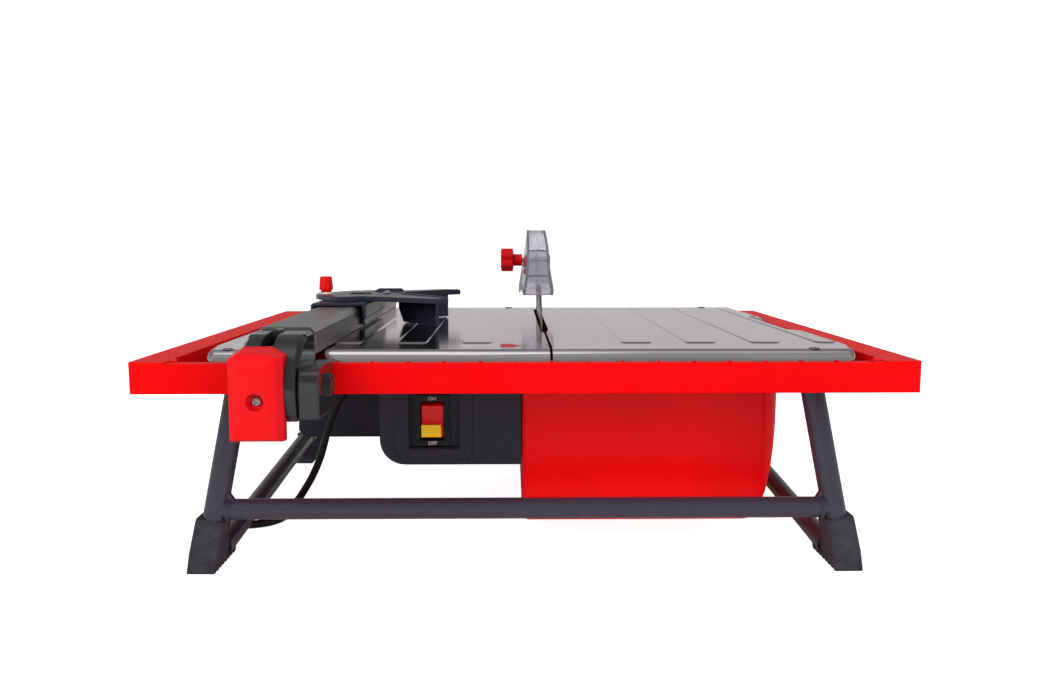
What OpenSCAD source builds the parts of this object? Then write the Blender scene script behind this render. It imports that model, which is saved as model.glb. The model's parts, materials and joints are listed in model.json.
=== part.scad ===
// Table-top wet tile saw with a rip fence and a mitre guide.
// Distances are in millimetres. Shapes are drawn from the frame's front edge (y = 0) and
// from the top of its rails (z = 0), and on_table() moves them to stand on the ground.

/* [Table frame] */
// Width of the moulded frame, left to right
frame_width = 560; // [520:5:600]
// Depth of the moulded frame, front to back
frame_depth = 480; // [460:5:520]
// Height of the frame's rails
rail_height = 22.5; // [20:0.5:26]
// Height of the rail tops above the ground
rail_top = 165; // [160:1:175]
// How much narrower each side of the frame is at the bottom
rail_draft = 0.6; // [0:0.1:1.5]
// Wall thickness of the frame's moulding
frame_wall = 3; // [2:0.5:4]

/* [Table top] */
// Thickness of the stainless sheet
sheet = 1.2; // [0.8:0.1:2]
// Height of the sheet's surface above the rails
table_rise = 5; // [4:0.5:6]
// Width of each pressed rib
rib_width = 25.5; // [18:0.5:30]
// Height of the pressed ribs
rib_rise = 0.8; // [0.4:0.1:1]
// Spacing of the pressed ribs
rib_pitch = 51; // [45:1:60]
// Width of the blade slot
slot_width = 7.7; // [5:0.1:10]

/* [Blade] */
// Diameter of the blade
blade_diameter = 178; // [150:1:180]
// Thickness of the blade's rim
blade_thickness = 2; // [1.4:0.1:2.6]
// Depth of the motor's axis below the rail tops
axis_depth = 50; // [48:1:56]

/* [Stand] */
// Diameter of the legs' tubes
leg_diameter = 17.8; // [16:0.2:19]
// Diameter of the crossbars and side tubes
brace_diameter = 16; // [14:0.2:17]
// Wall thickness of the stand's tubes
tube_wall = 1.5; // [1:0.1:2.5]
// Width of each rubber foot
foot_width = 20.8; // [20:0.2:24]

/* [Fence] */
// Width of the fence bar
bar_width = 40; // [36:0.5:41]
// Height of the top of the fence bar above the rails
bar_top = 25; // [22:0.5:25.4]
// Wall thickness of the fence bar
bar_wall = 2; // [1.5:0.1:3]

/* [Cord] */
// Diameter of the mains cord
cord_diameter = 7; // [6:0.5:8]

/* [Hidden] */
$fn = 48;

// Distance from the frame's front edge to the origin
front_offset = 210;
// Half sizes of the frame
half_width = frame_width / 2;
// The recess the table top sits in
recess_half = half_width - 25;
recess_front = 11;
recess_back = frame_depth - 10;
floor_top = -14;
floor_bottom = floor_top - frame_wall;
corner_radius = 4;
// The opening above the water tray
opening_left = 2;
opening_right = 206;
opening_front = 115;
opening_back = 437;
// Places of the screws that hold the table top
screw_places = [[-220, 37], [-220, 460], [214, 37], [214, 462], [-14, 462]];

// Blade and motor axis
blade_x = 18.15;
axis_y = 330;
axis_z = -axis_depth;
blade_radius = blade_diameter / 2;
arbor_radius = 7.9;
motor_shaft_radius = 6;
bearing_play = 0.05;

// Stand. Each leg leans outwards and to the front or the rear
leg_radius = leg_diameter / 2;
brace_radius = brace_diameter / 2;
leg_lean = 9.6;
leg_splay = 8.5;
leg_length = 149;
leg_top_x = 219;
leg_top_y = 62.8;
crossbar_y = 47.3;
crossbar_z = -118.7;
// Where the crossbar's surface meets the leg
weld_x = 226.6;
ground = -rail_top;
// The side tubes rise a little from the front foot to the rear bolt
brace_x = 238.6;
brace_front = [66, -154.7];
brace_back = [378, -133];
brace_bolt = [392, -132];
brace_rise = atan2(brace_back[1] - brace_front[1], brace_back[0] - brace_front[0]);

// Fence bar and clamp
bar_left = -188;
bar_right = bar_left + bar_width;
bar_bottom = 6.2;
clamp_pin_y = -21;
clamp_pin_z = -12.5;
clamp_right = -148.5;
ear_right = -136;
slot_left = -175.5;
slot_right = -167;
slot_middle = (slot_left + slot_right) / 2;
ear_outline = [[-0.4, -30.8], [-52.6, -30.8], [-52.6, -6], [-51.6, -2], [-49.2, 0.2], [-45.6, 1.9],
  [-41, 2.9], [-35, 3.4], [-10, 3.4], [-0.4, 1]];
lobe_radius = 35;

// Mitre guide
mitre_pivot = [-132, 268];
knob_place = [-191, 271];
head_bottom = 28.6;
head_top = 33;

// Guard
guard_x = 15.5;
guard_bolt_y = 400;
guard_bolt_z = 62.5;
guard_bolt_radius = 3;
// How far the guard's bolt can drop and rise in the knife's slot
guard_drop = 4;
guard_rise = 7;

// Cord
cord_radius = cord_diameter / 2;
cord_floor = ground + cord_radius;
coil_radius = 36;
coil_centre = [139.4, 552];

function arc(centre, radius, from, to, steps) =
  [for (i = [0:steps]) let (a = from + (to - from) * i / steps)
    [centre[0] + radius * cos(a), centre[1] + radius * sin(a)]];

// Points of an arc that lies flat on the ground
function ground_arc(centre, radius, from, to, steps) =
  [for (p = arc(centre, radius, from, to, steps)) [p[0], p[1], cord_floor]];

// The cord drops from the housing, makes a loop by the left side and runs under the tray
drop_points = [[-148, 238, -45], [-154, 238, -46.5], [-161, 238, -50.5], [-168, 238, -57],
  [-174.5, 238, -66], [-180, 238, -77], [-184.5, 238, -89], [-188.5, 237.5, -102],
  [-192, 236.5, -115], [-196, 233, -127.5], [-200.5, 226, -138.5], [-205, 216, -147.5],
  [-209, 204, -154.2], [-212.2, 191, -158.8], [-214.2, 177, -161.1]];
loop_points = ground_arc([-243.5, 177], 29, -12, -270, 18);
run_points = [for (x = [-226:22:38]) [x, 206, cord_floor]];
turn_points = ground_arc([50, 256], 50, -80, 0, 6);
back_points = [for (y = [276:23:552]) [100, y, cord_floor]];
cord_route = concat(drop_points, loop_points, run_points, turn_points, back_points);

module on_table() translate([0, -front_offset, rail_top]) children();

module block(x0, x1, y0, y1, z0, z1)
  translate([x0, y0, z0]) cube([x1 - x0, y1 - y0, z1 - z0]);

module rod_x(x0, x1, y, z, r)
  translate([x0, y, z]) rotate([0, 90, 0]) cylinder(h = x1 - x0, r = r);

module rod_y(y0, y1, x, z, r)
  translate([x, y1, z]) rotate([90, 0, 0]) cylinder(h = y1 - y0, r = r);

module rod_z(z0, z1, x, y, r)
  translate([x, y, z0]) cylinder(h = z1 - z0, r = r);

// An outline given in y and z, drawn out along x
module slab_x(x0, x1, points)
  translate([x0, 0, 0]) rotate([90, 0, 90]) linear_extrude(x1 - x0) polygon(points);

// An outline given in x and z, drawn out along y
module slab_y(y0, y1, points)
  translate([0, y1, 0]) rotate([90, 0, 0]) linear_extrude(y1 - y0) polygon(points);

// An outline given in x and y, drawn out along z
module slab_z(z0, z1, points)
  translate([0, 0, z0]) linear_extrude(z1 - z0) polygon(points);

module rounded_plan(x0, x1, y0, y1, r) {
  translate([x0 + r, y0]) square([x1 - x0 - 2 * r, y1 - y0]);
  translate([x0, y0 + r]) square([x1 - x0, y1 - y0 - 2 * r]);
  for (x = [x0 + r, x1 - r], y = [y0 + r, y1 - r]) translate([x, y]) circle(r = r);
}

module rounded_block(x0, x1, y0, y1, z0, z1, r)
  translate([0, 0, z0]) linear_extrude(z1 - z0) rounded_plan(x0, x1, y0, y1, r);

// Table frame

module frame_outside() {
  intersection() {
    rounded_block(-half_width, half_width, 0, frame_depth, -rail_height, 0, corner_radius);
    slab_y(-1, frame_depth + 1, [[-half_width + rail_draft, -rail_height - 0.5],
      [half_width - rail_draft, -rail_height - 0.5], [half_width + 0.02, 0.5],
      [-half_width - 0.02, 0.5]]);
    slab_x(-half_width - 1, half_width + 1, [[rail_draft, -rail_height - 0.5],
      [frame_depth - rail_draft, -rail_height - 0.5], [frame_depth + 0.02, 0.5],
      [-0.02, 0.5]]);
  }
}

module frame_pockets() {
  // hollow side rails with a rib between pockets
  for (side = [-1, 1], i = [0:7])
    block(side * (half_width - 12.5) - 9.5, side * (half_width - 12.5) + 9.5,
      4 + i * 59.4, 4 + i * 59.4 + 56.4, -rail_height - 1, -frame_wall);
  // narrow hollows in the front and rear rails
  for (y = [3, frame_depth - 7], i = [0:5])
    block(-250 + i * 83.8, -250 + i * 83.8 + 81, y, y + 4.6, -rail_height - 1, -5);
}

module table_frame() color([0.8, 0.04, 0.05]) on_table() {
  difference() {
    union() {
      difference() {
        frame_outside();
        // the recess with cut front corners
        slab_z(floor_top, 1, [[-recess_half, 26], [-recess_half + 7, recess_front],
          [recess_half - 7, recess_front], [recess_half, 26], [recess_half, recess_back],
          [-recess_half, recess_back]]);
        // the front rail's top is a little lower between the side rails
        block(-half_width + 26, half_width - 26, -1, recess_front + 1, -1, 1);
        block(-recess_half + 3, recess_half - 3, recess_front + 3, recess_back - 3,
          -rail_height - 1, floor_bottom);
        frame_pockets();
      }
      // bosses under the table's screws and under the sheet's middle
      for (p = screw_places) rod_z(floor_top - 0.5, table_rise - sheet, p[0], p[1], 5);
      for (p = [[-120, 120], [-120, 300], [-60, 200], [222, 200], [222, 380]])
        block(p[0] - 1.5, p[0] + 1.5, p[1] - 20, p[1] + 20, floor_top - 0.5, table_rise - sheet);
      // ribs under the floor
      for (x = [-150, -75, 0, 75, 150]) {
        block(x - 1.2, x + 1.2, recess_front, 100, -rail_height + 0.5, floor_bottom + 0.5);
        block(x - 1.2, x + 1.2, 446, recess_back, -rail_height + 0.5, floor_bottom + 0.5);
      }
      // sockets for the four leg tops
      for (side = [-1, 1], y = [leg_top_y, frame_depth - leg_top_y])
        rod_z(-rail_height, floor_bottom + 0.5, side * leg_top_x, y, 13);
    }
    // the rear right socket is cut flat where it passes the tray
    block(tray_right - 30, tray_right + 0.5, 390, 440, -rail_height - 1, floor_bottom);
    // the opening above the water tray
    rounded_block(opening_left, opening_right, opening_front, opening_back,
      -rail_height - 1, floor_top + 1, 6);
    for (p = screw_places) rod_z(floor_top - 1, table_rise, p[0], p[1], 2.05);
    // the leg tops seat in their sockets
    for (side = [0, 1]) mirror([side, 0, 0]) {
      leg(leg_radius);
      from_rear() leg(leg_radius);
    }
    // drain holes in the gutter's corners
    for (x = [-247, 247], y = [20, 462])
      rod_z(floor_bottom - 1, floor_top + 1, x, y, 3);
  }
}

// Table top

// The sheet's outline, with an inset for the inside of its folded skirt
module table_plan(inset) {
  r = 6;
  left = -238.4 + inset;
  right = 249.4 - inset;
  front_left = -234.5 + inset;
  front_right = 244 - inset;
  front = 27.7 + inset;
  back = 471 - inset - 1.6;
  notch = 240 - inset;
  polygon([[front_left + r, front], [front_right - r, front], [front_right, front + r],
    [front_right, 42], [right, 65], [right, 178], [notch, 188], [notch, 312],
    [right, 312 + inset], [right, back - r], [right - r, back], [left + r, back],
    [left, back - r], [left, 65], [front_left, 42], [front_left, front + r]]);
  for (p = [[front_left + r, front + r], [front_right - r, front + r], [right - r, back - r],
    [left + r, back - r]]) translate(p) circle(r = r);
}

// The blade slot: parallel sides, a pointed front and a saw kerf to the front edge
module blade_slot() {
  left = blade_x - slot_width / 2;
  right = blade_x + slot_width / 2;
  slab_z(-10, 8, [[left, 172], [18.5, 155], [right, 185], [right, 435], [left, 435]]);
  block(blade_x - 0.85, blade_x + 1.15, 20, 160, -12, 8);
}

// One pressed rib with round ends
module rib(x, y0, y1, width, z0, z1) {
  block(x - width / 2, x + width / 2, y0 + width / 2, y1 - width / 2, z0, z1);
  for (y = [y0 + width / 2, y1 - width / 2]) rod_z(z0, z1, x, y, width / 2);
}

module all_ribs(shrink, z0, z1) {
  for (x = [87, 137.5, 188.3])
    rib(x, 75.5 + shrink, 451 - shrink, rib_width - 2 * shrink, z0, z1);
  for (i = [0:3])
    rib(-38.2 - i * rib_pitch, 75.5 + shrink, 451 - shrink, rib_width - 2 * shrink, z0, z1);
  intersection() {
    rib(239.3, 75.5 + shrink, 451 - shrink, rib_width - 2 * shrink, z0, z1);
    union() {
      block(227 + shrink, 248 - shrink, 70, 176, z0 - 1, z1 + 1);
      block(227 + shrink, 238.5 - shrink, 170, 460, z0 - 1, z1 + 1);
      block(227 + shrink, 248 - shrink, 314, 460, z0 - 1, z1 + 1);
    }
  }
}

module table_top() color([0.62, 0.62, 0.63]) on_table() {
  difference() {
    union() {
      difference() {
        translate([0, 0, -8]) linear_extrude(table_rise + 8) table_plan(0);
        translate([0, 0, -9]) linear_extrude(table_rise - sheet + 9) table_plan(sheet);
      }
      all_ribs(0, table_rise - 0.2, table_rise + rib_rise);
    }
    all_ribs(sheet, table_rise - sheet - 1, table_rise + rib_rise - sheet);
    blade_slot();
    for (p = screw_places) rod_z(0, table_rise + 2, p[0], p[1], 2.3);
  }
}

module table_screws() color([0.7, 0.7, 0.7]) on_table() {
  for (p = screw_places) {
    difference() {
      rod_z(table_rise, table_rise + 1, p[0], p[1], 4.2);
      for (turn = [0, 90])
        translate([p[0], p[1], table_rise + 0.9]) rotate([0, 0, turn])
          cube([4.4, 0.9, 1], center = true);
    }
    rod_z(-12, table_rise, p[0], p[1], 2);
  }
}

// Stand

// What follows is drawn at the front, and this turns it round to the rear
module from_rear() translate([0, frame_depth, 0]) mirror([0, 1, 0]) children();

// The front right leg, from its foot to its socket
module leg(r, extra = 0)
  intersection() {
    translate([leg_top_x, leg_top_y, floor_bottom]) rotate([leg_splay, 180 - leg_lean, 0])
      translate([0, 0, -10]) cylinder(h = leg_length + extra, r = r);
    block(150, 300, 0, 120, -200, floor_bottom + extra);
  }

module leg_pair(r, bar_radius, extra = 0) {
  for (side = [0, 1]) mirror([side, 0, 0]) leg(r, extra);
  rod_x(-236.1, 236.1, crossbar_y, crossbar_z, bar_radius);
}

// Rings of weld where the crossbar meets the legs, and a small fillet above each
module welds()
  for (side = [0, 1]) mirror([side, 0, 0]) {
    translate([weld_x, crossbar_y, crossbar_z]) rotate([0, 90 - leg_lean, 0])
      rotate_extrude() translate([brace_radius - 0.3, 0]) circle(r = 1.6, $fn = 16);
    slab_y(crossbar_y - 2.5, crossbar_y + 2.5, [[weld_x - 5, crossbar_z + 6.9],
      [weld_x + 1.6, crossbar_z + 6.9], [weld_x - 0.6, crossbar_z + 12.5],
      [weld_x - 1.4, crossbar_z + 12.5]]);
  }

// A flat lug behind each rear leg's front side, for the side tube's bolt
module lugs()
  for (side = [0, 1]) mirror([side, 0, 0]) translate([brace_x - 2.4, 0, 0]) {
    block(-2, 2, 46, frame_depth - brace_bolt[0], brace_bolt[1] - 8, brace_bolt[1] + 8);
    rod_x(-2, 2, frame_depth - brace_bolt[0], brace_bolt[1], 8);
  }

module leg_frame(with_lugs) {
  difference() {
    union() {
      leg_pair(leg_radius, brace_radius);
      welds();
      if (with_lugs) lugs();
    }
    leg_pair(leg_radius - tube_wall, brace_radius - tube_wall, 1);
    if (with_lugs) for (side = [0, 1]) mirror([side, 0, 0])
      rod_x(brace_x - 5, brace_x, frame_depth - brace_bolt[0], brace_bolt[1], 2.6);
  }
}

module front_leg_frame() color([0.17, 0.17, 0.2]) on_table() leg_frame(false);
module rear_leg_frame() color([0.17, 0.17, 0.2]) on_table() from_rear() leg_frame(true);

// A side tube runs from the front foot up to the rear lug, where it is pressed flat
module brace(r)
  translate([brace_x, brace_front[0], brace_front[1]]) rotate([brace_rise - 90, 0, 0])
    cylinder(h = norm(brace_back - brace_front), r = r);

module side_tube_right() {
  flat_left = brace_x - 0.3;
  flat_right = brace_x + 3;
  difference() {
    brace(brace_radius);
    brace(brace_radius - tube_wall);
    // the lengthwise crease where the tube's sheet is joined
    translate([brace_x, brace_front[0], brace_front[1]]) rotate([brace_rise - 90, 0, 0])
      rotate([0, 0, 215]) translate([brace_radius - 0.9, -0.6, 40]) cube([2, 1.2, 330]);
  }
  // flattened end
  difference() {
    union() {
      block(flat_left, flat_right, 374, brace_bolt[0], brace_bolt[1] - 8.3, brace_bolt[1] + 8.3);
      rod_x(flat_left, flat_right, brace_bolt[0], brace_bolt[1], 8.3);
      slab_z(brace_bolt[1] - 7.5, brace_bolt[1] + 6.5, [[brace_x - 7, 369], [flat_left, 383],
        [flat_right, 383], [brace_x + 7, 369]]);
    }
    rod_x(brace_x - 9, brace_x + 9, brace_bolt[0], brace_bolt[1], 2.6);
  }
}

module left_side_tube() color([0.17, 0.17, 0.2]) on_table() mirror([1, 0, 0]) side_tube_right();
module right_side_tube() color([0.17, 0.17, 0.2]) on_table() side_tube_right();

module brace_bolts() color([0.6, 0.6, 0.62]) on_table()
  for (side = [0, 1]) mirror([side, 0, 0]) {
    rod_x(brace_x - 8, brace_x + 3, brace_bolt[0], brace_bolt[1], 2.5);
    translate([brace_x + 3, brace_bolt[0], brace_bolt[1]]) rotate([0, 90, 0]) rotate_extrude()
      polygon([[0, 0], [5, 0], [4.7, 1], [3.8, 1.9], [2.2, 2.6], [0, 2.8]]);
    // the nut behind the lug
    translate([brace_x - 8.4, brace_bolt[0], brace_bolt[1]]) rotate([0, 90, 0])
      cylinder(h = 4, r = 5, $fn = 6);
  }

// A rubber boot: tall round the leg, then low along a heel, with a stepped sole
foot_outline = [[33.4, ground - 2], [31.6, -151], [35.4, -126.3], [37.2, -124.4], [56.8, -124.4],
  [58.8, -126.5], [57.5, -141], [63, -150], [86, -157], [88.5, -159], [88.5, ground - 2]];
foot_x = 240.8;
foot_z = -140;
foot_lean = 10.6;

module foot_right(with_brace) {
  difference() {
    intersection() {
      translate([foot_x, 0, foot_z]) rotate([0, -foot_lean, 0]) translate([0, 0, -foot_z])
        slab_x(-foot_width / 2, foot_width / 2, foot_outline);
      block(200, 290, 30, 120, ground, -110);
    }
    leg(leg_radius + 0.05);
    if (with_brace) brace(brace_radius + 0.05);
    // the steps of the sole
    for (i = [0:6]) block(200, 290, 37.6 + i * 7.1, 40.8 + i * 7.1, ground - 1, ground + 2.6);
  }
}

module foot_material() color([0.08, 0.08, 0.09]) children();

module front_left_foot() foot_material() on_table() mirror([1, 0, 0]) foot_right(true);
module front_right_foot() foot_material() on_table() foot_right(true);
module rear_left_foot() foot_material() on_table() from_rear() mirror([1, 0, 0]) foot_right(false);
module rear_right_foot() foot_material() on_table() from_rear() foot_right(false);

// Water tray

tray_left = -2.6;
tray_right = 210.5;
tray_front = 108;
tray_back = 438;
tray_bottom = -146;
tray_wall = 2.4;

function tray_outline(t) = concat(
  [[tray_left + t, floor_bottom + (t > 0 ? 1 : 0)], [tray_left + t, tray_bottom + 6]],
  arc([tray_left + 6, tray_bottom + 6], 6 - t, 180, 270, 4),
  arc([181, tray_bottom + 13], 13 - t, -90, -27, 5),
  [[199.8 - t, -123], [204.4 - t, -103], [207.2 - t, -84], [209 - t, -65], [210 - t, -42],
    [tray_right - t, floor_bottom + (t > 0 ? 1 : 0)]]);

module tray_solid(t) {
  intersection() {
    slab_y(tray_front + t, tray_back - t, tray_outline(t));
    translate([0, 0, tray_bottom - 1]) linear_extrude(140) {
      rounded_plan(tray_left + t, 178, tray_front + t, tray_back - t, 5);
      rounded_plan(100, tray_right - t, tray_front + t, 320, 16 - t);
      // the rear corner is rounder, to pass the rear leg
      rounded_plan(100, tray_right - t, 200, tray_back - t, 30 - t);
    }
    // the rear wall steps forward to pass the rear crossbar
    slab_x(tray_left - 1, 220, [[tray_front - 1, tray_bottom - 1], [tray_back - 20 - t, tray_bottom - 1],
      [tray_back - 20 - t, -106], [tray_back - t, -66], [tray_back - t, 0], [tray_front - 1, 0]]);
  }
}

module water_tray() color([0.8, 0.04, 0.05]) on_table() {
  difference() {
    tray_solid(0);
    tray_solid(tray_wall);
    // a notch for the arbor
    block(tray_left - 1, tray_left + 4, axis_y - 23, axis_y + 23, axis_z, -10);
    rod_x(tray_left - 1, tray_left + 4, axis_y, axis_z, 23);
    // the drain
    rod_z(tray_bottom - 1, tray_bottom + 5, 170, 395, 7);
  }
}

module drain_plug() color([0.08, 0.08, 0.09]) on_table() {
  rod_z(tray_bottom, tray_bottom + 5, 170, 395, 6.8);
  rod_z(tray_bottom - 3, tray_bottom, 170, 395, 10);
  difference() {
    rod_x(167, 173, 395, tray_bottom - 3, 5);
    rod_x(166, 174, 395, tray_bottom - 3, 2.5);
    block(160, 180, 380, 410, tray_bottom - 3, tray_bottom + 6);
  }
}

// Motor housing

housing_right = -3;
block_left = -120;
block_front = 112;
block_back = 272;
block_top = -17;
block_bottom = -100;
barrel_left = -222;
barrel_back = 400;
barrel_top = -20;
barrel_bottom = -109.5;
cover_edge = -205;
housing_wall = 3;

function block_outline(t) = concat([[housing_right - t, block_top - t], [block_left + t, block_top - t]],
  arc([block_left + 21, block_bottom + 21], 21 - t, 180, 270, 8),
  [[housing_right - t, block_bottom + t]]);

function barrel_outline(left, t) = concat([[housing_right - t, barrel_top - t],
  [left + t, barrel_top - t]],
  arc([left + 11, barrel_bottom + 11], 11 - t, 180, 270, 5),
  [[housing_right - t, barrel_bottom + t]]);

// The motor's laminated stack, seen from the end
module stack(x0, x1, grow)
  intersection() {
    block(x0, x1, axis_y - 38 - grow, axis_y + 38 + grow, axis_z - 26 - grow,
      axis_z + 26 + grow);
    rod_x(x0, x1, axis_y, axis_z, 41 + grow);
  }

module motor_housing() color([0.1, 0.1, 0.14]) on_table() {
  difference() {
    union() {
      slab_y(block_front, block_back, block_outline(0));
      block(cover_edge, housing_right, block_back - 1, barrel_back, barrel_bottom, barrel_top);
      // the fine ridge on the front
      block(-107.6, -106.6, block_front - 0.7, block_front + 1, -92, block_top);
    }
    difference() {
      union() {
        slab_y(block_front + housing_wall, block_back + 2, block_outline(housing_wall));
        block(cover_edge - 1, housing_right - housing_wall, block_back + housing_wall,
          barrel_back - housing_wall, barrel_bottom + housing_wall, barrel_top - housing_wall);
      }
      // the switch recess's inner box
      block(-98, -52, block_front, 120, -88.6, -35);
      // two plates that hold the stator
      for (x = [-160, -128]) difference() {
        block(x, x + 3, 270, barrel_back, barrel_bottom, barrel_top);
        stack(x - 1, x + 4, 0.05);
      }
      // the bearing seat
      rod_x(-24, housing_right, axis_y, axis_z, 21);
    }
    // the switch recess and the hole behind it
    block(-95, -55, block_front - 2, 117, -85.6, -38);
    block(-88, -64.7, 116, 121, -81, -46);
    // the bearing and the arbor
    rod_x(-22, -10, axis_y, axis_z, 16);
    rod_x(-26, 0, axis_y, axis_z, 10);
    // the cord's hole
    rod_x(block_left - 1, block_left + 4, 238, -45, 5.5);
    // slots for the air under the barrel
    for (i = [0:5]) block(-90 + i * 12, -84 + i * 12, 300, 370, barrel_bottom - 1,
      barrel_bottom + 4);
  }
}

module motor_end_cover() color([0.1, 0.1, 0.14]) on_table() {
  difference() {
    intersection() {
      slab_y(block_back, barrel_back, barrel_outline(barrel_left, 0));
      block(barrel_left - 1, cover_edge, block_back - 1, barrel_back + 1, -120, 0);
    }
    difference() {
      intersection() {
        slab_y(block_back + 3, barrel_back - 3, barrel_outline(barrel_left, 4));
        block(barrel_left, cover_edge + 1, block_back, barrel_back, -120, 0);
      }
      rod_x(barrel_left, cover_edge, axis_y, axis_z, 18);
      for (y = [280, 392], z = [-102, -29]) rod_x(barrel_left, cover_edge, y, z, 5.6);
    }
    rod_x(-216, cover_edge + 1, axis_y, axis_z, 14);
    // air slots, each cut short of the bearing seat
    for (i = [-4:4]) if (abs(i) > 1)
      block(barrel_left - 1, barrel_left + 6, axis_y + i * 12 - 3, axis_y + i * 12 + 3, -92, -34);
    for (y = [280, 392], z = [-102, -29]) rod_x(barrel_left - 1, cover_edge + 1, y, z, 2.3);
  }
}

module cover_screws() color([0.6, 0.6, 0.62]) on_table()
  for (y = [280, 392], z = [-102, -29]) {
    rod_x(barrel_left - 1.8, barrel_left, y, z, 4);
    rod_x(barrel_left, cover_edge, y, z, 2.2);
  }

module motor_stator() color([0.35, 0.3, 0.28]) on_table() {
  difference() {
    stack(-165, -120, 0);
    rod_x(-166, -119, axis_y, axis_z, 21.3);
  }
  // the field windings at both ends
  for (side = [-1, 1], x = [-172, -120])
    difference() {
      block(x, x + 7, axis_y + side * 28 - 7, axis_y + side * 28 + 7, axis_z - 18, axis_z + 18);
      rod_x(x - 1, x + 8, axis_y, axis_z, 21.6);
    }
}

module arbor_bearings() color([0.62, 0.62, 0.64]) on_table() {
  difference() {
    rod_x(-215.8, -205.2, axis_y, axis_z, 13.9);
    rod_x(-217, -204, axis_y, axis_z, motor_shaft_radius + bearing_play);
  }
  difference() {
    rod_x(-22, -10, axis_y, axis_z, 15.9);
    rod_x(-23, -9, axis_y, axis_z, arbor_radius + bearing_play);
  }
}

module arbor_shaft() color([0.55, 0.55, 0.57]) on_table() {
  rod_x(-214.5, -26, axis_y, axis_z, motor_shaft_radius);
  rod_x(-26, 26, axis_y, axis_z, arbor_radius);
  rod_x(26, 38, axis_y, axis_z, 7);
  // the rotor's core and its commutator
  rod_x(-164, -121, axis_y, axis_z, 20.6);
  rod_x(-196, -176, axis_y, axis_z, 12);
}

module cooling_fan() color([0.12, 0.12, 0.12]) on_table() difference() {
  union() {
    rod_x(-110, -92, axis_y, axis_z, 9.5);
    rod_x(-94, -92, axis_y, axis_z, 25);
    for (i = [0:10]) translate([-106, axis_y, axis_z]) rotate([i * 360 / 11, 0, 0])
      translate([0, -0.8, 8]) cube([12.5, 1.6, 16]);
  }
  rod_x(-112, -90, axis_y, axis_z, motor_shaft_radius + 0.02);
}

module inner_flange() color([0.6, 0.6, 0.62]) on_table() difference() {
  union() {
    rod_x(11, blade_x - blade_thickness / 2 + 0.2, axis_y, axis_z, 25);
    rod_x(4, 12, axis_y, axis_z, 13);
  }
  rod_x(3, 20, axis_y, axis_z, arbor_radius + 0.04);
}

module outer_flange() color([0.6, 0.6, 0.62]) on_table() difference() {
  rod_x(blade_x + blade_thickness / 2 - 0.2, 23.5, axis_y, axis_z, 25);
  rod_x(18, 25, axis_y, axis_z, arbor_radius + 0.04);
}

module arbor_nut() color([0.6, 0.6, 0.62]) on_table() difference() {
  translate([26.05, axis_y, axis_z]) rotate([0, 90, 0]) cylinder(h = 8, r = 12.5, $fn = 6);
  rod_x(25, 36, axis_y, axis_z, 7.03);
}

module saw_blade() color([0.55, 0.56, 0.58]) on_table() difference() {
  union() {
    rod_x(blade_x - blade_thickness / 2 + 0.2, blade_x + blade_thickness / 2 - 0.2,
      axis_y, axis_z, blade_radius - 5);
    difference() {
      rod_x(blade_x - blade_thickness / 2, blade_x + blade_thickness / 2, axis_y, axis_z,
        blade_radius);
      rod_x(blade_x - 5, blade_x + 5, axis_y, axis_z, blade_radius - 8);
    }
    rod_x(blade_x - blade_thickness / 2 + 0.2, blade_x + blade_thickness / 2 - 0.2,
      axis_y, axis_z, blade_radius - 7);
  }
  rod_x(blade_x - 5, blade_x + 5, axis_y, axis_z, arbor_radius + 0.04);
  for (i = [0:5]) rotate_about_axis(i * 60) rod_x(blade_x - 5, blade_x + 5, 0, 58, 4);
}

module rotate_about_axis(turn)
  translate([0, axis_y, axis_z]) rotate([turn, 0, 0]) children();

// Switch

switch_pivot_y = 121;
switch_pivot_z = -63.6;

module switch_bezel() color([0.05, 0.05, 0.06]) on_table() {
  difference() {
    block(-91, -62.6, 112.6, 117, -84.4, -41.7);
    block(-86, -66.7, 112, 118, -79.8, -47.4);
  }
  difference() {
    block(-87.8, -64.9, 117, 140, -80.8, -46.2);
    block(-86, -66.7, 116, 138, -79.4, -47.8);
  }
}

// The rocker's face is a wide V, curved at its ends so that it can tip
module switch_rocker() color([0.75, 0.05, 0.05]) on_table() {
  difference() {
    intersection() {
      slab_x(-85.3, -67.4, [[112.2, -79], [114.4, -63.6], [112.2, -48.3], [126, -48.3],
        [126, -79]]);
      rod_x(-85.3, -67.4, switch_pivot_y, switch_pivot_z, 15.3);
      block(-86, -67, 109, 126, -79, -48.2);
    }
    // the slot the safety key sits in
    block(-83.6, -70.7, 100, 130, -76.4, -66.4);
  }
  rod_x(-85.8, -66.9, switch_pivot_y, switch_pivot_z, 2);
}

module switch_key() color([0.9, 0.75, 0.1]) on_table() {
  block(-83.3, -71, 112.6, 124, -76.1, -66.7);
  block(-85.2, -69.1, 108.6, 111.6, -76.2, -66);
  block(-82, -72.3, 111.6, 112.6, -75.8, -67);
}

// Cord

module strain_relief() color([0.04, 0.04, 0.05]) on_table() {
  translate([-148, 238, -45]) rotate([0, 90, 0]) rotate_extrude()
    polygon([[0, 0], [4.3, 0], [6.6, 24], [6.6, 26], [8.2, 26], [8.2, 28], [5.3, 28],
      [5.3, 33], [0, 33]]);
}

function unit(v) = v / norm(v);
function route_tangent(i) = unit(cord_route[min(i + 1, len(cord_route) - 1)]
  - cord_route[max(i - 1, 0)]);
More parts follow.
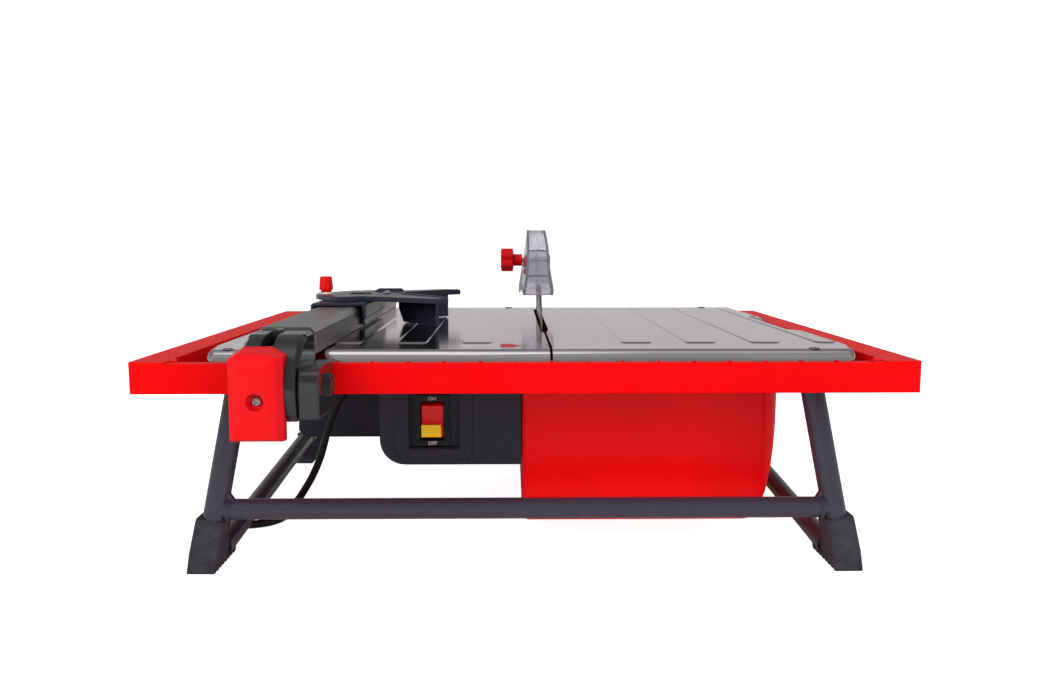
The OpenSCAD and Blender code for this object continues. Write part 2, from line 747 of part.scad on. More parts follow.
// Normals carried along the route so that the tube doesn't twist
function carried(i, n) = let (t = route_tangent(i)) unit(n - (n * t) * t);
function carry_normals(i, n, list) = i >= len(cord_route) ? list
  : let (next = carried(i, n)) carry_normals(i + 1, next, concat(list, [next]));
normals = carry_normals(0, [0, 1, 0], []);
tube_sides = 10;
tube_points = [for (i = [0:len(cord_route) - 1]) let (t = route_tangent(i), n = normals[i],
  b = cross(t, n)) for (k = [0:tube_sides - 1])
    cord_route[i] + cord_radius * (cos(k * 36) * n + sin(k * 36) * b)];
tube_rings = len(cord_route);
tube_faces = concat(
  [[for (k = [0:tube_sides - 1]) tube_sides - 1 - k]],
  [for (i = [0:tube_rings - 2], k = [0:tube_sides - 1])
    [i * tube_sides + k, i * tube_sides + (k + 1) % tube_sides,
     (i + 1) * tube_sides + (k + 1) % tube_sides, (i + 1) * tube_sides + k]],
  [[for (k = [0:tube_sides - 1]) (tube_rings - 1) * tube_sides + k]]);

module power_cord() color([0.03, 0.03, 0.03]) on_table()
  polyhedron(points = tube_points, faces = tube_faces, convexity = 6);

module cord_coil() color([0.03, 0.03, 0.03]) on_table()
  translate([coil_centre[0], coil_centre[1], cord_floor]) rotate_extrude()
    for (side = [-1, 1], level = [0, 1])
      translate([coil_radius + side * (cord_radius - 0.1), level * (cord_diameter - 0.2)])
        circle(r = cord_radius, $fn = 12);

plug_start = [coil_centre[0] + 6, coil_centre[1] + 50];

module plug() color([0.04, 0.04, 0.05]) on_table()
  translate([plug_start[0], plug_start[1], ground + 11]) rotate([0, 90, 0]) rotate_extrude()
    polygon([[0, -34], [4, -34], [5.4, -4], [8, 0], [10.8, 8], [11, 24], [0, 24]]);

module plug_pins() color([0.7, 0.6, 0.35]) on_table() {
  for (y = [-6.3, 6.3])
    block(plug_start[0] + 24, plug_start[0] + 42, plug_start[1] + y - 0.8,
      plug_start[1] + y + 0.8, ground + 9, ground + 15);
  rod_x(plug_start[0] + 24, plug_start[0] + 45, plug_start[1], ground + 5, 2.4);
}

// Fence

module fence_bar() color([0.55, 0.53, 0.52]) on_table() {
  bevel = 3.7;
  difference() {
    slab_y(0.6, 470, [[bar_left, bar_bottom], [bar_right, bar_bottom],
      [bar_right, bar_top - bevel], [bar_right - bevel, bar_top], [bar_left + bevel, bar_top],
      [bar_left, bar_top - bevel]]);
    slab_y(-1, 471, [[bar_left + bar_wall, bar_bottom + bar_wall],
      [bar_right - bar_wall, bar_bottom + bar_wall], [bar_right - bar_wall, bar_top - bevel - 1],
      [bar_right - bevel - 1, bar_top - bar_wall], [bar_left + bevel + 1, bar_top - bar_wall],
      [bar_left + bar_wall, bar_top - bevel - 1]]);
    // fine grooves along the top
    for (i = [0:6]) block(bar_left + 8 + i * 4, bar_left + 8.8 + i * 4, -1, 471,
      bar_top - 0.5, bar_top + 1);
  }
}

// The clamp's section above the rail, with the bar's two bevels
module clamp_section(y0, y1)
  slab_y(y0, y1, [[bar_left, 0.4], [bar_left, 20.6], [bar_left + 3.1, 23.7],
    [clamp_right - 3.1, 23.7], [clamp_right, 20.6], [clamp_right, 0.4]]);

module fence_clamp_body() color([0.09, 0.09, 0.1]) on_table() {
  difference() {
    union() {
      // two round lobes on the lever's axis, bevelled at both ends
      intersection() {
        translate([bar_left, clamp_pin_y, clamp_pin_z]) rotate([0, 90, 0]) rotate_extrude($fn = 96)
          polygon([[0, 0], [lobe_radius - 3, 0], [lobe_radius, 3],
            [lobe_radius, clamp_right - bar_left - 3], [lobe_radius - 3, clamp_right - bar_left],
            [0, clamp_right - bar_left]]);
        block(bar_left - 1, clamp_right + 1, -60, -0.4, -32.7, 24);
      }
      // the part that lies on the rail and meets the bar
      intersection() {
        clamp_section(-23, 0.6);
        slab_x(bar_left - 1, clamp_right + 1, [[-23, 0.4], [0.6, 0.4], [0.6, 23.6], [-23, 22.2]]);
      }
      // the tongue inside the bar
      block(bar_left + bar_wall + 0.1, bar_right - bar_wall - 0.1, -2, 24,
        bar_bottom + bar_wall + 0.1, bar_top - bar_wall - 3.4);
      // the ear that holds the pin's right end
      intersection() {
        slab_x(-150.5, ear_right, ear_outline);
        slab_z(-40, 10, [[-151, -60], [ear_right - 1.6, -52.6], [ear_right, -51], [ear_right, 0],
          [-151, 0]]);
      }
      rod_x(ear_right - 1, ear_right + 3.4, clamp_pin_y, clamp_pin_z, 7.7);
    }
    // the slot the lever's arm and the jaw work in
    block(slot_left, slot_right, -70, -9, -40, 40);
    block(slot_left, slot_right, -10, 1, -40, -8);
    rod_x(bar_left - 2, -130, clamp_pin_y, clamp_pin_z, 4.05);
    // a ring groove in the boss
    difference() {
      rod_x(ear_right + 2.2, ear_right + 4, clamp_pin_y, clamp_pin_z, 6.4);
      rod_x(ear_right + 2, ear_right + 5, clamp_pin_y, clamp_pin_z, 5.2);
    }
    // the screw's hole
    rod_z(10, 26, slot_middle, -4.6, 2.05);
    // a shallow waist between the lobes and the ear
    block(-150.6, -149, -60, -44, -40, 3);
  }
}

module clamp_screw() color([0.75, 0.75, 0.76]) on_table() {
  rod_z(23.5, 24.6, slot_middle, -4.6, 3.2);
  rod_z(12, 23.6, slot_middle, -4.6, 2);
}

// The lever's plate seen from above, bevelled along both sides
lever_plan = [[-192.2, -30], [-192.2, -59.8], [-185.4, -63.4], [-168.3, -63.4], [-161.2, -61.2],
  [-157.6, -57], [-157.6, -30]];
// The lever's plate seen from the side: nearly upright, then over the lobes as a lip
lever_side = [[-58.4, -43.9], [-61.2, -42.4], [-63, -12], [-63.4, 0], [-63.1, 5], [-62.2, 9],
  [-60.4, 12], [-58.6, 13.3], [-42, 16.2], [-41.4, 6], [-44, -43.9]];
lever_screw_x = -174.8;
lever_screw_z = -17.8;

module fence_lever() color([0.8, 0.04, 0.05]) on_table() {
  difference() {
    intersection() {
      union() {
        slab_z(-44, 17, lever_plan);
        // the lip flares a little to the right
        slab_z(4, 17, [[-160, -59.4], [-158.4, -57.8], [-156, -42], [-156, -40], [-160, -40]]);
      }
      slab_x(-193, -154, lever_side);
      // the bevels go on over the lip
      translate([0, -58.6, 13.3]) rotate([9.9, 0, 0])
        slab_y(-30, 30, [[-193, -4], [-185.4, 0.1], [-167.6, 0.1], [-155, -4.4], [-155, -90],
          [-193, -90]]);
    }
    // the hollow that turns round the lobes
    rod_x(-200, -150, clamp_pin_y, clamp_pin_z, lobe_radius + 0.5);
    block(-189.6, -160.2, -57.6, -30, -40.6, -24);
    block(-200, -150, -50, -30, -50, -20);
    // the screw's hole
    rod_y(-70, -57.6, lever_screw_x, lever_screw_z, 5.7);
    rod_y(-70, -50, lever_screw_x, lever_screw_z, 2);
  }
  // the arm and its hub
  difference() {
    union() {
      rod_x(slot_left + 0.4, slot_right - 0.4, clamp_pin_y, clamp_pin_z, 8);
      block(slot_left + 0.4, slot_right - 0.4, -57, -21, -13.5, -2);
    }
    rod_x(-182, -165, clamp_pin_y, clamp_pin_z, 4.05);
  }
}

module lever_screw() color([0.75, 0.75, 0.76]) on_table() {
  difference() {
    rod_y(-59.4, -57.6, lever_screw_x, lever_screw_z, 3.4);
    for (turn = [0, 90]) translate([lever_screw_x, -59.4, lever_screw_z]) rotate([0, turn, 0])
      cube([3.6, 1.6, 0.8], center = true);
  }
  rod_y(-57.6, -56.3, lever_screw_x, lever_screw_z, 1.9);
}

module lever_pin() color([0.75, 0.75, 0.76]) on_table()
  rod_x(bar_left + 1, ear_right + 3, clamp_pin_y, clamp_pin_z, 4);

// The jaw hooks under the front rail and drops when the lever is lifted
module clamp_jaw() color([0.3, 0.3, 0.32]) on_table() {
  block(slot_left + 0.4, slot_right - 0.4, -8.5, 9, -30, -22.9);
  block(slot_left + 0.4, slot_right - 0.4, -8.5, -0.8, -30, -9);
}

module fence_rear_hook() color([0.09, 0.09, 0.1]) on_table() {
  difference() {
    union() {
      block(bar_left + 1, bar_right - 1, 470, 484, 0.5, bar_top);
      block(bar_left + 1, bar_right - 1, 480.5, 484, -26, 1);
      block(bar_left + 1, bar_right - 1, 474, 484, -26, -23);
      block(bar_left + bar_wall + 0.1, bar_right - bar_wall - 0.1, 448, 471,
        bar_bottom + bar_wall + 0.1, bar_top - bar_wall - 3.4);
    }
    for (x = [bar_left + 8, bar_right - 8]) block(x - 5, x + 5, 474, 486, 6, bar_top - 4);
  }
}

// Mitre guide

module mitre_saddle() color([0.1, 0.1, 0.14]) on_table() {
  difference() {
    union() {
      slab_y(197, 335, [[-191.8, 8], [-191.8, 26.6], [-189.8, 28.3], [-144, 28.3],
        [-142.3, 26.6], [-142.3, 15.5], [-144.4, 13.5], [-144.4, 8], [-146.9, 8],
        [-146.9, 14], [-145.2, 15.8], [-145.2, 25.8], [-189.4, 25.8], [-189.4, 8]]);
      // the tongue under the head's pivot
      block(-144, -127, 257, 279, 25.8, 28.3);
      rod_z(25.8, 28.3, mitre_pivot[0], mitre_pivot[1], 12);
    }
    rod_z(20, 30, mitre_pivot[0], mitre_pivot[1], 2.45);
    // a bent slit in the right side
    slab_x(-148, -141, [[275.5, 7], [276.7, 7], [277.2, 12.4], [307.5, 17.6], [307.2, 18.7],
      [276.4, 13.6]]);
    // rounded lower corners of the right side
    for (y = [197, 335]) translate([-140, y, 8]) rotate([0, 90, 0])
      cylinder(h = 20, r = 7, center = true);
  }
}

// The head plate's left part and its two arms, in x and y from the pivot
mitre_wing = [[5.5, 0], [-67.5, 0], [-66.5, 12], [-61, 26], [-45, 50], [-40, 55.5], [-35, 56],
  [-18, 44], [5.5, 57]];
far_arm = [[0, 0], [5.5, 0], [12, 5], [68, 62], [68, 66], [55, 83], [51, 84], [-18, 44], [-10, 10]];
near_arm = [[0, 0], [-10, -10], [-18, -44], [47, -81.5], [56, -83.5], [64.3, -77], [64.3, -72],
  [12, -5], [5.5, 0]];
// The two working faces under the arms, seen from above
near_web = [[8, 0], [12, 0], [54.2, -55], [51.5, -57.5]];
far_web = [[8, 0], [53, 59.5], [55.6, 57], [12, 0]];

module mitre_plate() color([0.1, 0.1, 0.14]) on_table() translate([mitre_pivot[0], mitre_pivot[1], 0])
  difference() {
    union() {
      slab_z(head_bottom, head_top, near_arm);
      slab_z(head_bottom, head_top, far_arm);
      slab_z(head_bottom, head_top, mitre_wing);
      mirror([0, 1, 0]) slab_z(head_bottom, head_top, mitre_wing);
      // the webs lean inwards at the pivot's end and clear the saddle's tongue
      difference() {
        intersection() {
          union() {
            slab_z(6.4, head_bottom + 0.2, near_web);
            slab_z(6.4, head_bottom + 0.2, far_web);
          }
          slab_y(-70, 70, [[7.5, 30], [17, 6], [70, 6], [70, 30]]);
        }
        rod_z(6, head_bottom, 0, 0, 12.6);
      }
      // a low pad behind the pivot
      slab_y(36, 43, [[-18, head_top - 0.2], [-13, head_top + 3], [9.5, head_top + 3],
        [13.5, head_top - 0.2]]);
      // raised rims along the arms
      slab_z(head_top - 0.2, head_top + 1, [[16, 12], [18, 10], [66, 60], [64.5, 62]]);
      slab_z(head_top - 0.2, head_top + 1, [[16, -12], [60.5, -70], [62, -68], [18, -10]]);
    }
    rod_z(0, 40, 0, 0, 2.45);
    rod_z(20, 40, knob_place[0] - mitre_pivot[0], 0, 2.6);
    // the wide hole beside the pivot
    translate([0, 0, 20]) linear_extrude(20) rounded_plan(-36.5, -14.5, -15, 15, 9);
  }

module mitre_pivot_screw() color([0.7, 0.7, 0.72]) on_table()
  translate([mitre_pivot[0], mitre_pivot[1], 25.9]) rotate_extrude()
    polygon([[0, 0], [2.4, 0], [2.4, 7.15], [3.6, 7.15], [3.5, 8.4], [2.8, 9.5], [1.5, 10.2],
      [0, 10.3]]);

module mitre_knob() color([0.8, 0.04, 0.05]) on_table()
  translate([knob_place[0], mitre_pivot[1], 0]) {
    difference() {
      union() {
        rod_z(34.6, 37, 0, 0, 5.2);
        translate([0, 0, 36.9]) cylinder(h = 11.7, r1 = 6.75, r2 = 5.8);
        translate([0, 0, 48.6]) cylinder(h = 1, r1 = 5.8, r2 = 5);
      }
      for (i = [0:7]) rotate([0, 0, i * 45]) translate([7.2, 0, 35.5]) cylinder(h = 20, r = 1.1);
    }
    rod_z(29, 34.7, 0, 0, 2.5);
  }

module mitre_washer() color([0.75, 0.75, 0.72]) on_table() difference() {
  rod_z(head_top, head_top + 1.4, knob_place[0], mitre_pivot[1], 7.3);
  rod_z(head_top - 1, head_top + 2, knob_place[0], mitre_pivot[1], 2.6);
}

// Riving knife and guard

module riving_knife() color([0.6, 0.6, 0.62]) on_table() difference() {
  slab_x(blade_x - 0.75, blade_x + 0.75, [[404, -13], [431.5, -13], [460, -12], [460, 1.8],
    [431.5, 1.8], [431.5, 30], [414, 74], [408, 76], [394, 76], [391, 73], [391, 34],
    [404, 14]]);
  rod_x(blade_x - 3, blade_x + 3, axis_y, axis_z, blade_radius + 4);
  // the slot for the guard's bolt
  block(blade_x - 3, blade_x + 3, guard_bolt_y - 3.05, guard_bolt_y + 3.05,
    guard_bolt_z - guard_drop, guard_bolt_z + guard_rise);
  for (z = [guard_bolt_z - guard_drop, guard_bolt_z + guard_rise])
    rod_x(blade_x - 3, blade_x + 3, guard_bolt_y, z, 3.05);
  for (y = [446, 455]) rod_x(blade_x - 3, blade_x + 3, y, -5.5, 1.6);
}

module knife_bracket() color([0.6, 0.6, 0.62]) on_table() {
  difference() {
    union() {
      block(blade_x + 0.75, blade_x + 3, 440, 460, floor_top, 2);
      block(blade_x + 0.75, blade_x + 22, 440, 460, floor_top, floor_top + 2);
    }
    for (y = [446, 455]) rod_x(blade_x, blade_x + 5, y, -5.5, 1.6);
  }
  for (y = [446, 455]) {
    rod_x(blade_x - 2.6, blade_x - 0.75, y, -5.5, 3);
    rod_x(blade_x - 0.8, blade_x + 4.5, y, -5.5, 1.5);
    rod_z(floor_top + 2, floor_top + 4, blade_x + 14, y, 3);
  }
}

// Half widths of the guard at each height, outside
function guard_widths(t) = [[-13.65 + t, 28], [-13.2 + t, 50], [-11 + t, 54], [-9.6 + t, 75],
  [-8.6 + t, 96 - t], [8.6 - t, 96 - t], [9.6 - t, 75], [11 - t, 54], [13.2 - t, 50],
  [13.65 - t, 28]];
// The guard's side view, with t as the wall
function guard_side(t) = [[275 + t, 31], [283 + t, 59], [290 + t, 74 - t], [300, 77 - t],
  [362, 94 - t], [372, 95 - t], [392, 90 - t], [425, 72 - t], [435 + 2 * t, 60], [435 + 2 * t, 42],
  [428, 34], [400, 29], [360, 28], [330, 32], [300, 36], [288, 31]];

module blade_guard() color([0.75, 0.78, 0.82, 0.45]) on_table() {
  difference() {
    union() {
      difference() {
        intersection() {
          translate([guard_x, 0, 0]) slab_y(270, 440, guard_widths(0));
          slab_x(-10, 45, guard_side(0));
        }
        intersection() {
          translate([guard_x, 0, 0]) slab_y(270, 445, guard_widths(2));
          slab_x(-10, 45, [[277, 20], [285, 59], [292, 72], [300, 75], [362, 92], [372, 93],
            [391, 88], [424, 70], [440, 60], [440, 20]]);
        }
      }
      // the skirts that lean outwards behind the front panel
      for (side = [0, 1]) translate([guard_x, 0, 0]) mirror([side, 0, 0])
        slab_y(300, 428, [[11.4, 52], [12.9, 52], [18.8, 30], [17, 30]]);
    }
    rod_x(-10, 45, guard_bolt_y, guard_bolt_z, guard_bolt_radius + 0.06);
    // the top is slit over the riving knife
    block(blade_x - 1.9, blade_x + 1.9, 385, 445, 50, 100);
  }
}

module guard_bolt() color([0.7, 0.7, 0.72]) on_table() {
  rod_x(-9, 28, guard_bolt_y, guard_bolt_z, guard_bolt_radius);
  translate([28, guard_bolt_y, guard_bolt_z]) rotate([0, 90, 0])
    cylinder(h = 4, r = 5.6, $fn = 6);
}

// A six-lobed hand knob
module guard_knob() color([0.8, 0.04, 0.05]) on_table() difference() {
  union() {
    rod_x(-22.5, -8.6, guard_bolt_y, guard_bolt_z, 10);
    for (i = [0:5]) translate([0, guard_bolt_y, guard_bolt_z]) rotate([i * 60, 0, 0])
      rod_x(-22, -9.1, 0, 8.8, 3.8);
    rod_x(-9, 1, guard_bolt_y, guard_bolt_z, 6.5);
  }
  rod_x(-9.3, 3, guard_bolt_y, guard_bolt_z, guard_bolt_radius + 0.05);
}

table_frame();
table_top();
table_screws();
front_leg_frame();
rear_leg_frame();
left_side_tube();
right_side_tube();
brace_bolts();
front_left_foot();
front_right_foot();
rear_left_foot();
rear_right_foot();
water_tray();
drain_plug();
motor_housing();
motor_end_cover();
cover_screws();
motor_stator();
arbor_bearings();
arbor_shaft();
cooling_fan();
inner_flange();
outer_flange();
arbor_nut();
saw_blade();
switch_bezel();
switch_rocker();
switch_key();
strain_relief();
power_cord();
cord_coil();
plug();
plug_pins();
fence_bar();
fence_clamp_body();
clamp_screw();
fence_lever();
lever_screw();
lever_pin();
clamp_jaw();
fence_rear_hook();
mitre_saddle();
mitre_plate();
mitre_pivot_screw();
mitre_knob();
mitre_washer();
riving_knife();
knife_bracket();
blade_guard();
guard_bolt();
guard_knob();
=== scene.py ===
import bpy
import bmesh
import json
import math
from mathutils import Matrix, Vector
from mathutils.geometry import delaunay_2d_cdt

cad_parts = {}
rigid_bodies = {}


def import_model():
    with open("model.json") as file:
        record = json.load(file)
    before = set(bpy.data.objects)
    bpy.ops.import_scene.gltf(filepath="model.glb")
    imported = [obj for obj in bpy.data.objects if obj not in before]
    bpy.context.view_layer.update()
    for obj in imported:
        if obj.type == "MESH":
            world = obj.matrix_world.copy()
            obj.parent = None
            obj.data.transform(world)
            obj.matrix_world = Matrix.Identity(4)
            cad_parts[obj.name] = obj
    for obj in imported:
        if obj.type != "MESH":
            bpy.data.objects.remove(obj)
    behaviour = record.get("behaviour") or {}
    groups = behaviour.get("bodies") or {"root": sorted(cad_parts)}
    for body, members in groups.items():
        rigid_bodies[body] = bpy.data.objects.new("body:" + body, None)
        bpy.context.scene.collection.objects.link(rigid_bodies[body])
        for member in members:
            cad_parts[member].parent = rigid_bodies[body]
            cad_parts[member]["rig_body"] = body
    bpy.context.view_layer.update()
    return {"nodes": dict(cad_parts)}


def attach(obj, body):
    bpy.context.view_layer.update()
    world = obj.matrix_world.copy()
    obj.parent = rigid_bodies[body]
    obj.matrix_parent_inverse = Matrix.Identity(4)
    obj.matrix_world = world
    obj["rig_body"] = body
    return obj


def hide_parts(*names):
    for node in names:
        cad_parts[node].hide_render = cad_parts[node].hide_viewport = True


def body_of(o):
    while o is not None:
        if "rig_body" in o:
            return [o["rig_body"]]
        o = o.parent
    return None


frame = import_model()
nodes = frame["nodes"]
print("frame loaded,", len(nodes), "nodes")

# sizes are millimetres measured from the table frame's front edge and rail top
place = {"frontOffset": 210, "railTop": 165}


def at(x, y, z):
    # a place on the saw, in metres from the origin on the ground
    return Vector((x, y - place["frontOffset"], z + place["railTop"])) / 1000


cameraView = {"spot": (-0.0114, -0.8771, 0.2512), "lens": 32.85, "down": 6.64, "right": 0.84}


def makeCamera():
    data = bpy.data.cameras.new("camera")
    data.lens = cameraView["lens"]
    data.sensor_width = 36
    data.clip_start = 0.01
    cam = bpy.data.objects.new("camera", data)
    bpy.context.collection.objects.link(cam)
    cam.location = cameraView["spot"]
    cam.rotation_euler = (math.radians(90 - cameraView["down"]), 0, -math.radians(cameraView["right"]))
    bpy.context.scene.camera = cam


makeCamera()
print("camera set")


class Value:
    # a node's output that can be used in sums
    def __init__(self, web, out):
        self.web = web
        self.out = out

    def work(self, kind, a, b):
        return self.web.node("ShaderNodeMath", {"operation": kind}, a, b)

    def __add__(self, other):
        return self.work("ADD", self, other)

    def __radd__(self, other):
        return self.work("ADD", other, self)

    def __sub__(self, other):
        return self.work("SUBTRACT", self, other)

    def __rsub__(self, other):
        return self.work("SUBTRACT", other, self)

    def __mul__(self, other):
        return self.work("MULTIPLY", self, other)

    def __rmul__(self, other):
        return self.work("MULTIPLY", other, self)

    def __truediv__(self, other):
        return self.work("DIVIDE", self, other)

    def __rtruediv__(self, other):
        return self.work("DIVIDE", other, self)

    def __pow__(self, other):
        return self.work("POWER", self, other)

    def __gt__(self, other):
        return self.work("GREATER_THAN", self, other)


class Web:
    # a tree of nodes and the ways to add to it
    def __init__(self, tree, prefix="ShaderNode"):
        self.tree = tree
        self.prefix = prefix

    def node(self, kind, settings=None, *values, out=0, **named):
        made = self.tree.nodes.new(kind if "Node" in kind else self.prefix + kind)
        for key, setting in (settings or {}).items():
            setattr(made, key, setting)
        for socket, value in zip(made.inputs, values):
            self.join(socket, value)
        for key, value in named.items():
            self.join(made.inputs[key.replace("_", " ")], value)
        return Value(self, made.outputs[out])

    def join(self, socket, value):
        # link a value to a socket, or set the socket to a number, a colour or a word
        if value is None:
            return
        if isinstance(value, Value):
            self.tree.links.new(value.out, socket)
            return
        wide = hasattr(value, "__len__") and not isinstance(value, str)
        if hasattr(socket.default_value, "__len__") and not isinstance(value, str):
            count = len(socket.default_value)
            value = tuple(value) + (1,) * (count - len(value)) if wide else (value,) * count
        socket.default_value = value


class Finish(Web):
    # one material
    def __init__(self, name):
        self.material = bpy.data.materials.new(name)
        self.material.use_nodes = True
        super().__init__(self.material.node_tree)
        self.tree.nodes.clear()
        self.shader = self.tree.nodes.new("ShaderNodeBsdfPrincipled")
        self.end = self.tree.nodes.new("ShaderNodeOutputMaterial")
        self.tree.links.new(self.shader.outputs[0], self.end.inputs[0])

    def set(self, **values):
        for key, value in values.items():
            self.join(self.shader.inputs[key.replace("_", " ")], value)
        return self

    def spot(self):
        return self.node("TexCoord", None, out=3)

    def stretched(self, scale):
        return self.node("Mapping", None, Vector=self.spot(), Scale=scale)

    def axis(self, which):
        # one of the object's own coordinates
        return self.node("SeparateXYZ", None, self.spot(), out="XYZ".index(which))

    def noise(self, scale, detail=3, roughness=0.5, where=None, distortion=0):
        return self.node("TexNoise", None, Vector=where or self.spot(), Scale=scale, Detail=detail,
                         Roughness=roughness, Distortion=distortion)

    def ramp(self, value, low, high, a=0.0, b=1.0):
        return self.node("MapRange", {"clamp": True}, value, low, high, a, b)

    def mix(self, factor, a, b):
        made = self.tree.nodes.new("ShaderNodeMix")
        made.data_type = "RGBA"
        self.join(made.inputs[0], factor)
        self.join(made.inputs[6], a)
        self.join(made.inputs[7], b)
        return Value(self, made.outputs[2])

    def bump(self, height, strength, distance=0.001, under=None):
        return self.node("Bump", None, Height=height, Strength=strength, Distance=distance, Normal=under)

    def rounded(self, radius):
        # edges that catch the light as a moulding's do, with a radius in millimetres
        return self.node("Bevel", {"samples": 6}, Radius=radius / 1000)


def linear(r, g, b):
    # a colour as seen on a screen, 0 to 255, as light
    return tuple(((c / 255 + 0.055) / 1.055) ** 2.4 if c > 10 else c / 255 / 12.92 for c in (r, g, b))


def shade(colour, much):
    return tuple(min(1, c * much) for c in colour)


# grain: height of the fine texture, size: how many grains in a metre, edge: radius of the edges
mouldings = {
    "frameRed": {"colour": linear(228, 0, 4), "rough": 0.45, "grain": 0.08, "size": 900, "edge": 0.9,
                 "shine": 0.08},
    "trayRed": {"colour": linear(234, 0, 6), "rough": 0.3, "grain": 0.04, "size": 500, "edge": 1.2,
                "shine": 0.16},
    "gripRed": {"colour": linear(222, 2, 12), "rough": 0.36, "grain": 0.18, "size": 1300, "edge": 1.3,
                "shine": 0.22},
    "housingDark": {"colour": linear(36, 36, 50), "rough": 0.46, "grain": 0.3, "size": 1500, "edge": 1.2,
                    "shine": 0.35},
    "headDark": {"colour": linear(40, 42, 56), "rough": 0.3, "grain": 0.12, "size": 1200, "edge": 0.8,
                 "shine": 0.45},
    "clampDark": {"colour": linear(36, 37, 39), "rough": 0.11, "grain": 0.04, "size": 500, "edge": 1.3,
                  "shine": 0.5},
    "switchBlack": {"colour": linear(12, 12, 14), "rough": 0.4, "grain": 0.15, "size": 1400, "edge": 0.5,
                    "shine": 0.3},
    "rockerRed": {"colour": linear(236, 0, 8), "rough": 0.28, "grain": 0.06, "size": 900, "edge": 0.6,
                  "shine": 0.4},
    "keyYellow": {"colour": linear(255, 214, 16), "rough": 0.32, "grain": 0.08, "size": 900, "edge": 0.7,
                  "shine": 0.4},
    "washerPale": {"colour": linear(215, 214, 208), "rough": 0.4, "grain": 0.05, "size": 900,
                   "edge": 0.3, "shine": 0.4},
    "wordWhite": {"colour": linear(205, 208, 215), "rough": 0.5, "grain": 0.05, "size": 900,
                  "edge": 0.1, "shine": 0.3},
    "arrowRed": {"colour": linear(186, 14, 28), "rough": 0.42, "grain": 0.1, "size": 1500, "edge": 0.1,
                 "shine": 0.3},
}


def mouldedPlastic(name, m):
    # a moulded plastic: slow changes of tone, a fine texture, faint rubbed patches
    f = Finish(name)
    tone = f.ramp(f.noise(11, 2), 0.35, 0.65)
    fine = f.noise(m["size"], 3, 0.6)
    rubbed = f.ramp(f.noise(38, 4, 0.65, where=f.stretched((1, 2.2, 1))), 0.5, 0.72)
    base = f.mix(tone, shade(m["colour"], 0.95), shade(m["colour"], 1.04))
    f.set(Base_Color=f.mix(rubbed * 0.15, base, shade(m["colour"], 1.08)),
          Roughness=m["rough"] + 0.05 * rubbed + 0.05 * (fine - 0.5), Specular_IOR_Level=m["shine"],
          Normal=f.bump(fine, m["grain"], 0.0002, f.rounded(m["edge"])))
    return f.material


# streaks: how the marks are stretched along each axis
metals = {
    "zinc": {"colour": (0.5, 0.51, 0.54), "rough": 0.28, "streaks": (1, 1, 1), "size": 600, "mark": 0.08},
    "steel": {"colour": (0.5, 0.5, 0.52), "rough": 0.3, "streaks": (1, 1, 1), "size": 500, "mark": 0.12},
    "knifeSteel": {"colour": (0.42, 0.42, 0.43), "rough": 0.3, "streaks": (1, 9, 1), "size": 300,
                   "mark": 0.15},
    "aluminium": {"colour": (0.42, 0.4, 0.385), "rough": 0.36, "streaks": (1, 0.03, 1), "size": 700,
                  "mark": 0.06},
    "lamination": {"colour": (0.22, 0.18, 0.15), "rough": 0.5, "streaks": (40, 1, 1), "size": 300,
                   "mark": 0.4},
    "brass": {"colour": (0.78, 0.6, 0.3), "rough": 0.25, "streaks": (1, 1, 1), "size": 500, "mark": 0.1},
}


def bareMetal(name, m):
    f = Finish(name)
    lines = f.noise(m["size"], 3, 0.6, where=f.stretched(m["streaks"]))
    cloud = f.ramp(f.noise(30, 3), 0.35, 0.65)
    f.set(Base_Color=f.mix(cloud, shade(m["colour"], 0.9), m["colour"]), Metallic=1.0,
          Roughness=m["rough"] + 0.12 * (lines - 0.5) + 0.04 * cloud,
          Normal=f.bump(lines, m["mark"], 0.0001, f.rounded(0.4)))
    return f.material


def polishedSheet():
    # the table's stainless sheet: nearly a mirror, with slow waves and fine rolling lines
    f = Finish("polishedSheet")
    waves = f.noise(9, 2, 0.4)
    rolling = f.noise(260, 2, 0.5, where=f.stretched((1, 0.06, 1)))
    drops = f.ramp(f.noise(170, 2, 0.4), 0.7, 0.76)
    colour = f.mix(f.ramp(waves, 0.3, 0.7), (0.595, 0.565, 0.575), (0.66, 0.63, 0.64))
    f.set(Base_Color=f.mix(drops * 0.2, colour, (0.45, 0.45, 0.46)), Metallic=1.0,
          Roughness=0.09 + 0.05 * rolling + 0.06 * drops, Specular_Tint=(0.93, 0.87, 0.885, 1),
          Normal=f.bump(waves + 0.012 * rolling, 0.12, 0.004))
    return f.material


def paintedTube():
    # dark grey powder paint with a slight orange peel
    f = Finish("paintedTube")
    peel = f.noise(420, 2)
    specks = f.ramp(f.noise(900, 2, 0.5), 0.66, 0.72)
    colour = linear(52, 50, 64)
    f.set(Base_Color=f.mix(specks * 0.4, f.mix(f.ramp(f.noise(14, 2), 0.3, 0.7), shade(colour, 0.92), colour),
                           shade(colour, 1.5)),
          Roughness=0.3 + 0.08 * (f.noise(60, 3) - 0.5), Specular_IOR_Level=0.55,
          Normal=f.bump(peel, 0.1, 0.0003, f.rounded(0.6)))
    return f.material


def softRubber(name, colour, rough, grain):
    f = Finish(name)
    mottle = f.ramp(f.noise(75, 4, 0.65), 0.4, 0.66)
    f.set(Base_Color=f.mix(mottle, shade(colour, 0.75), shade(colour, 1.3)),
          Roughness=rough + 0.12 * (mottle - 0.5), Specular_IOR_Level=0.3,
          Normal=f.bump(f.noise(1300, 3, 0.6), grain, 0.0003, f.rounded(1)))
    return f.material


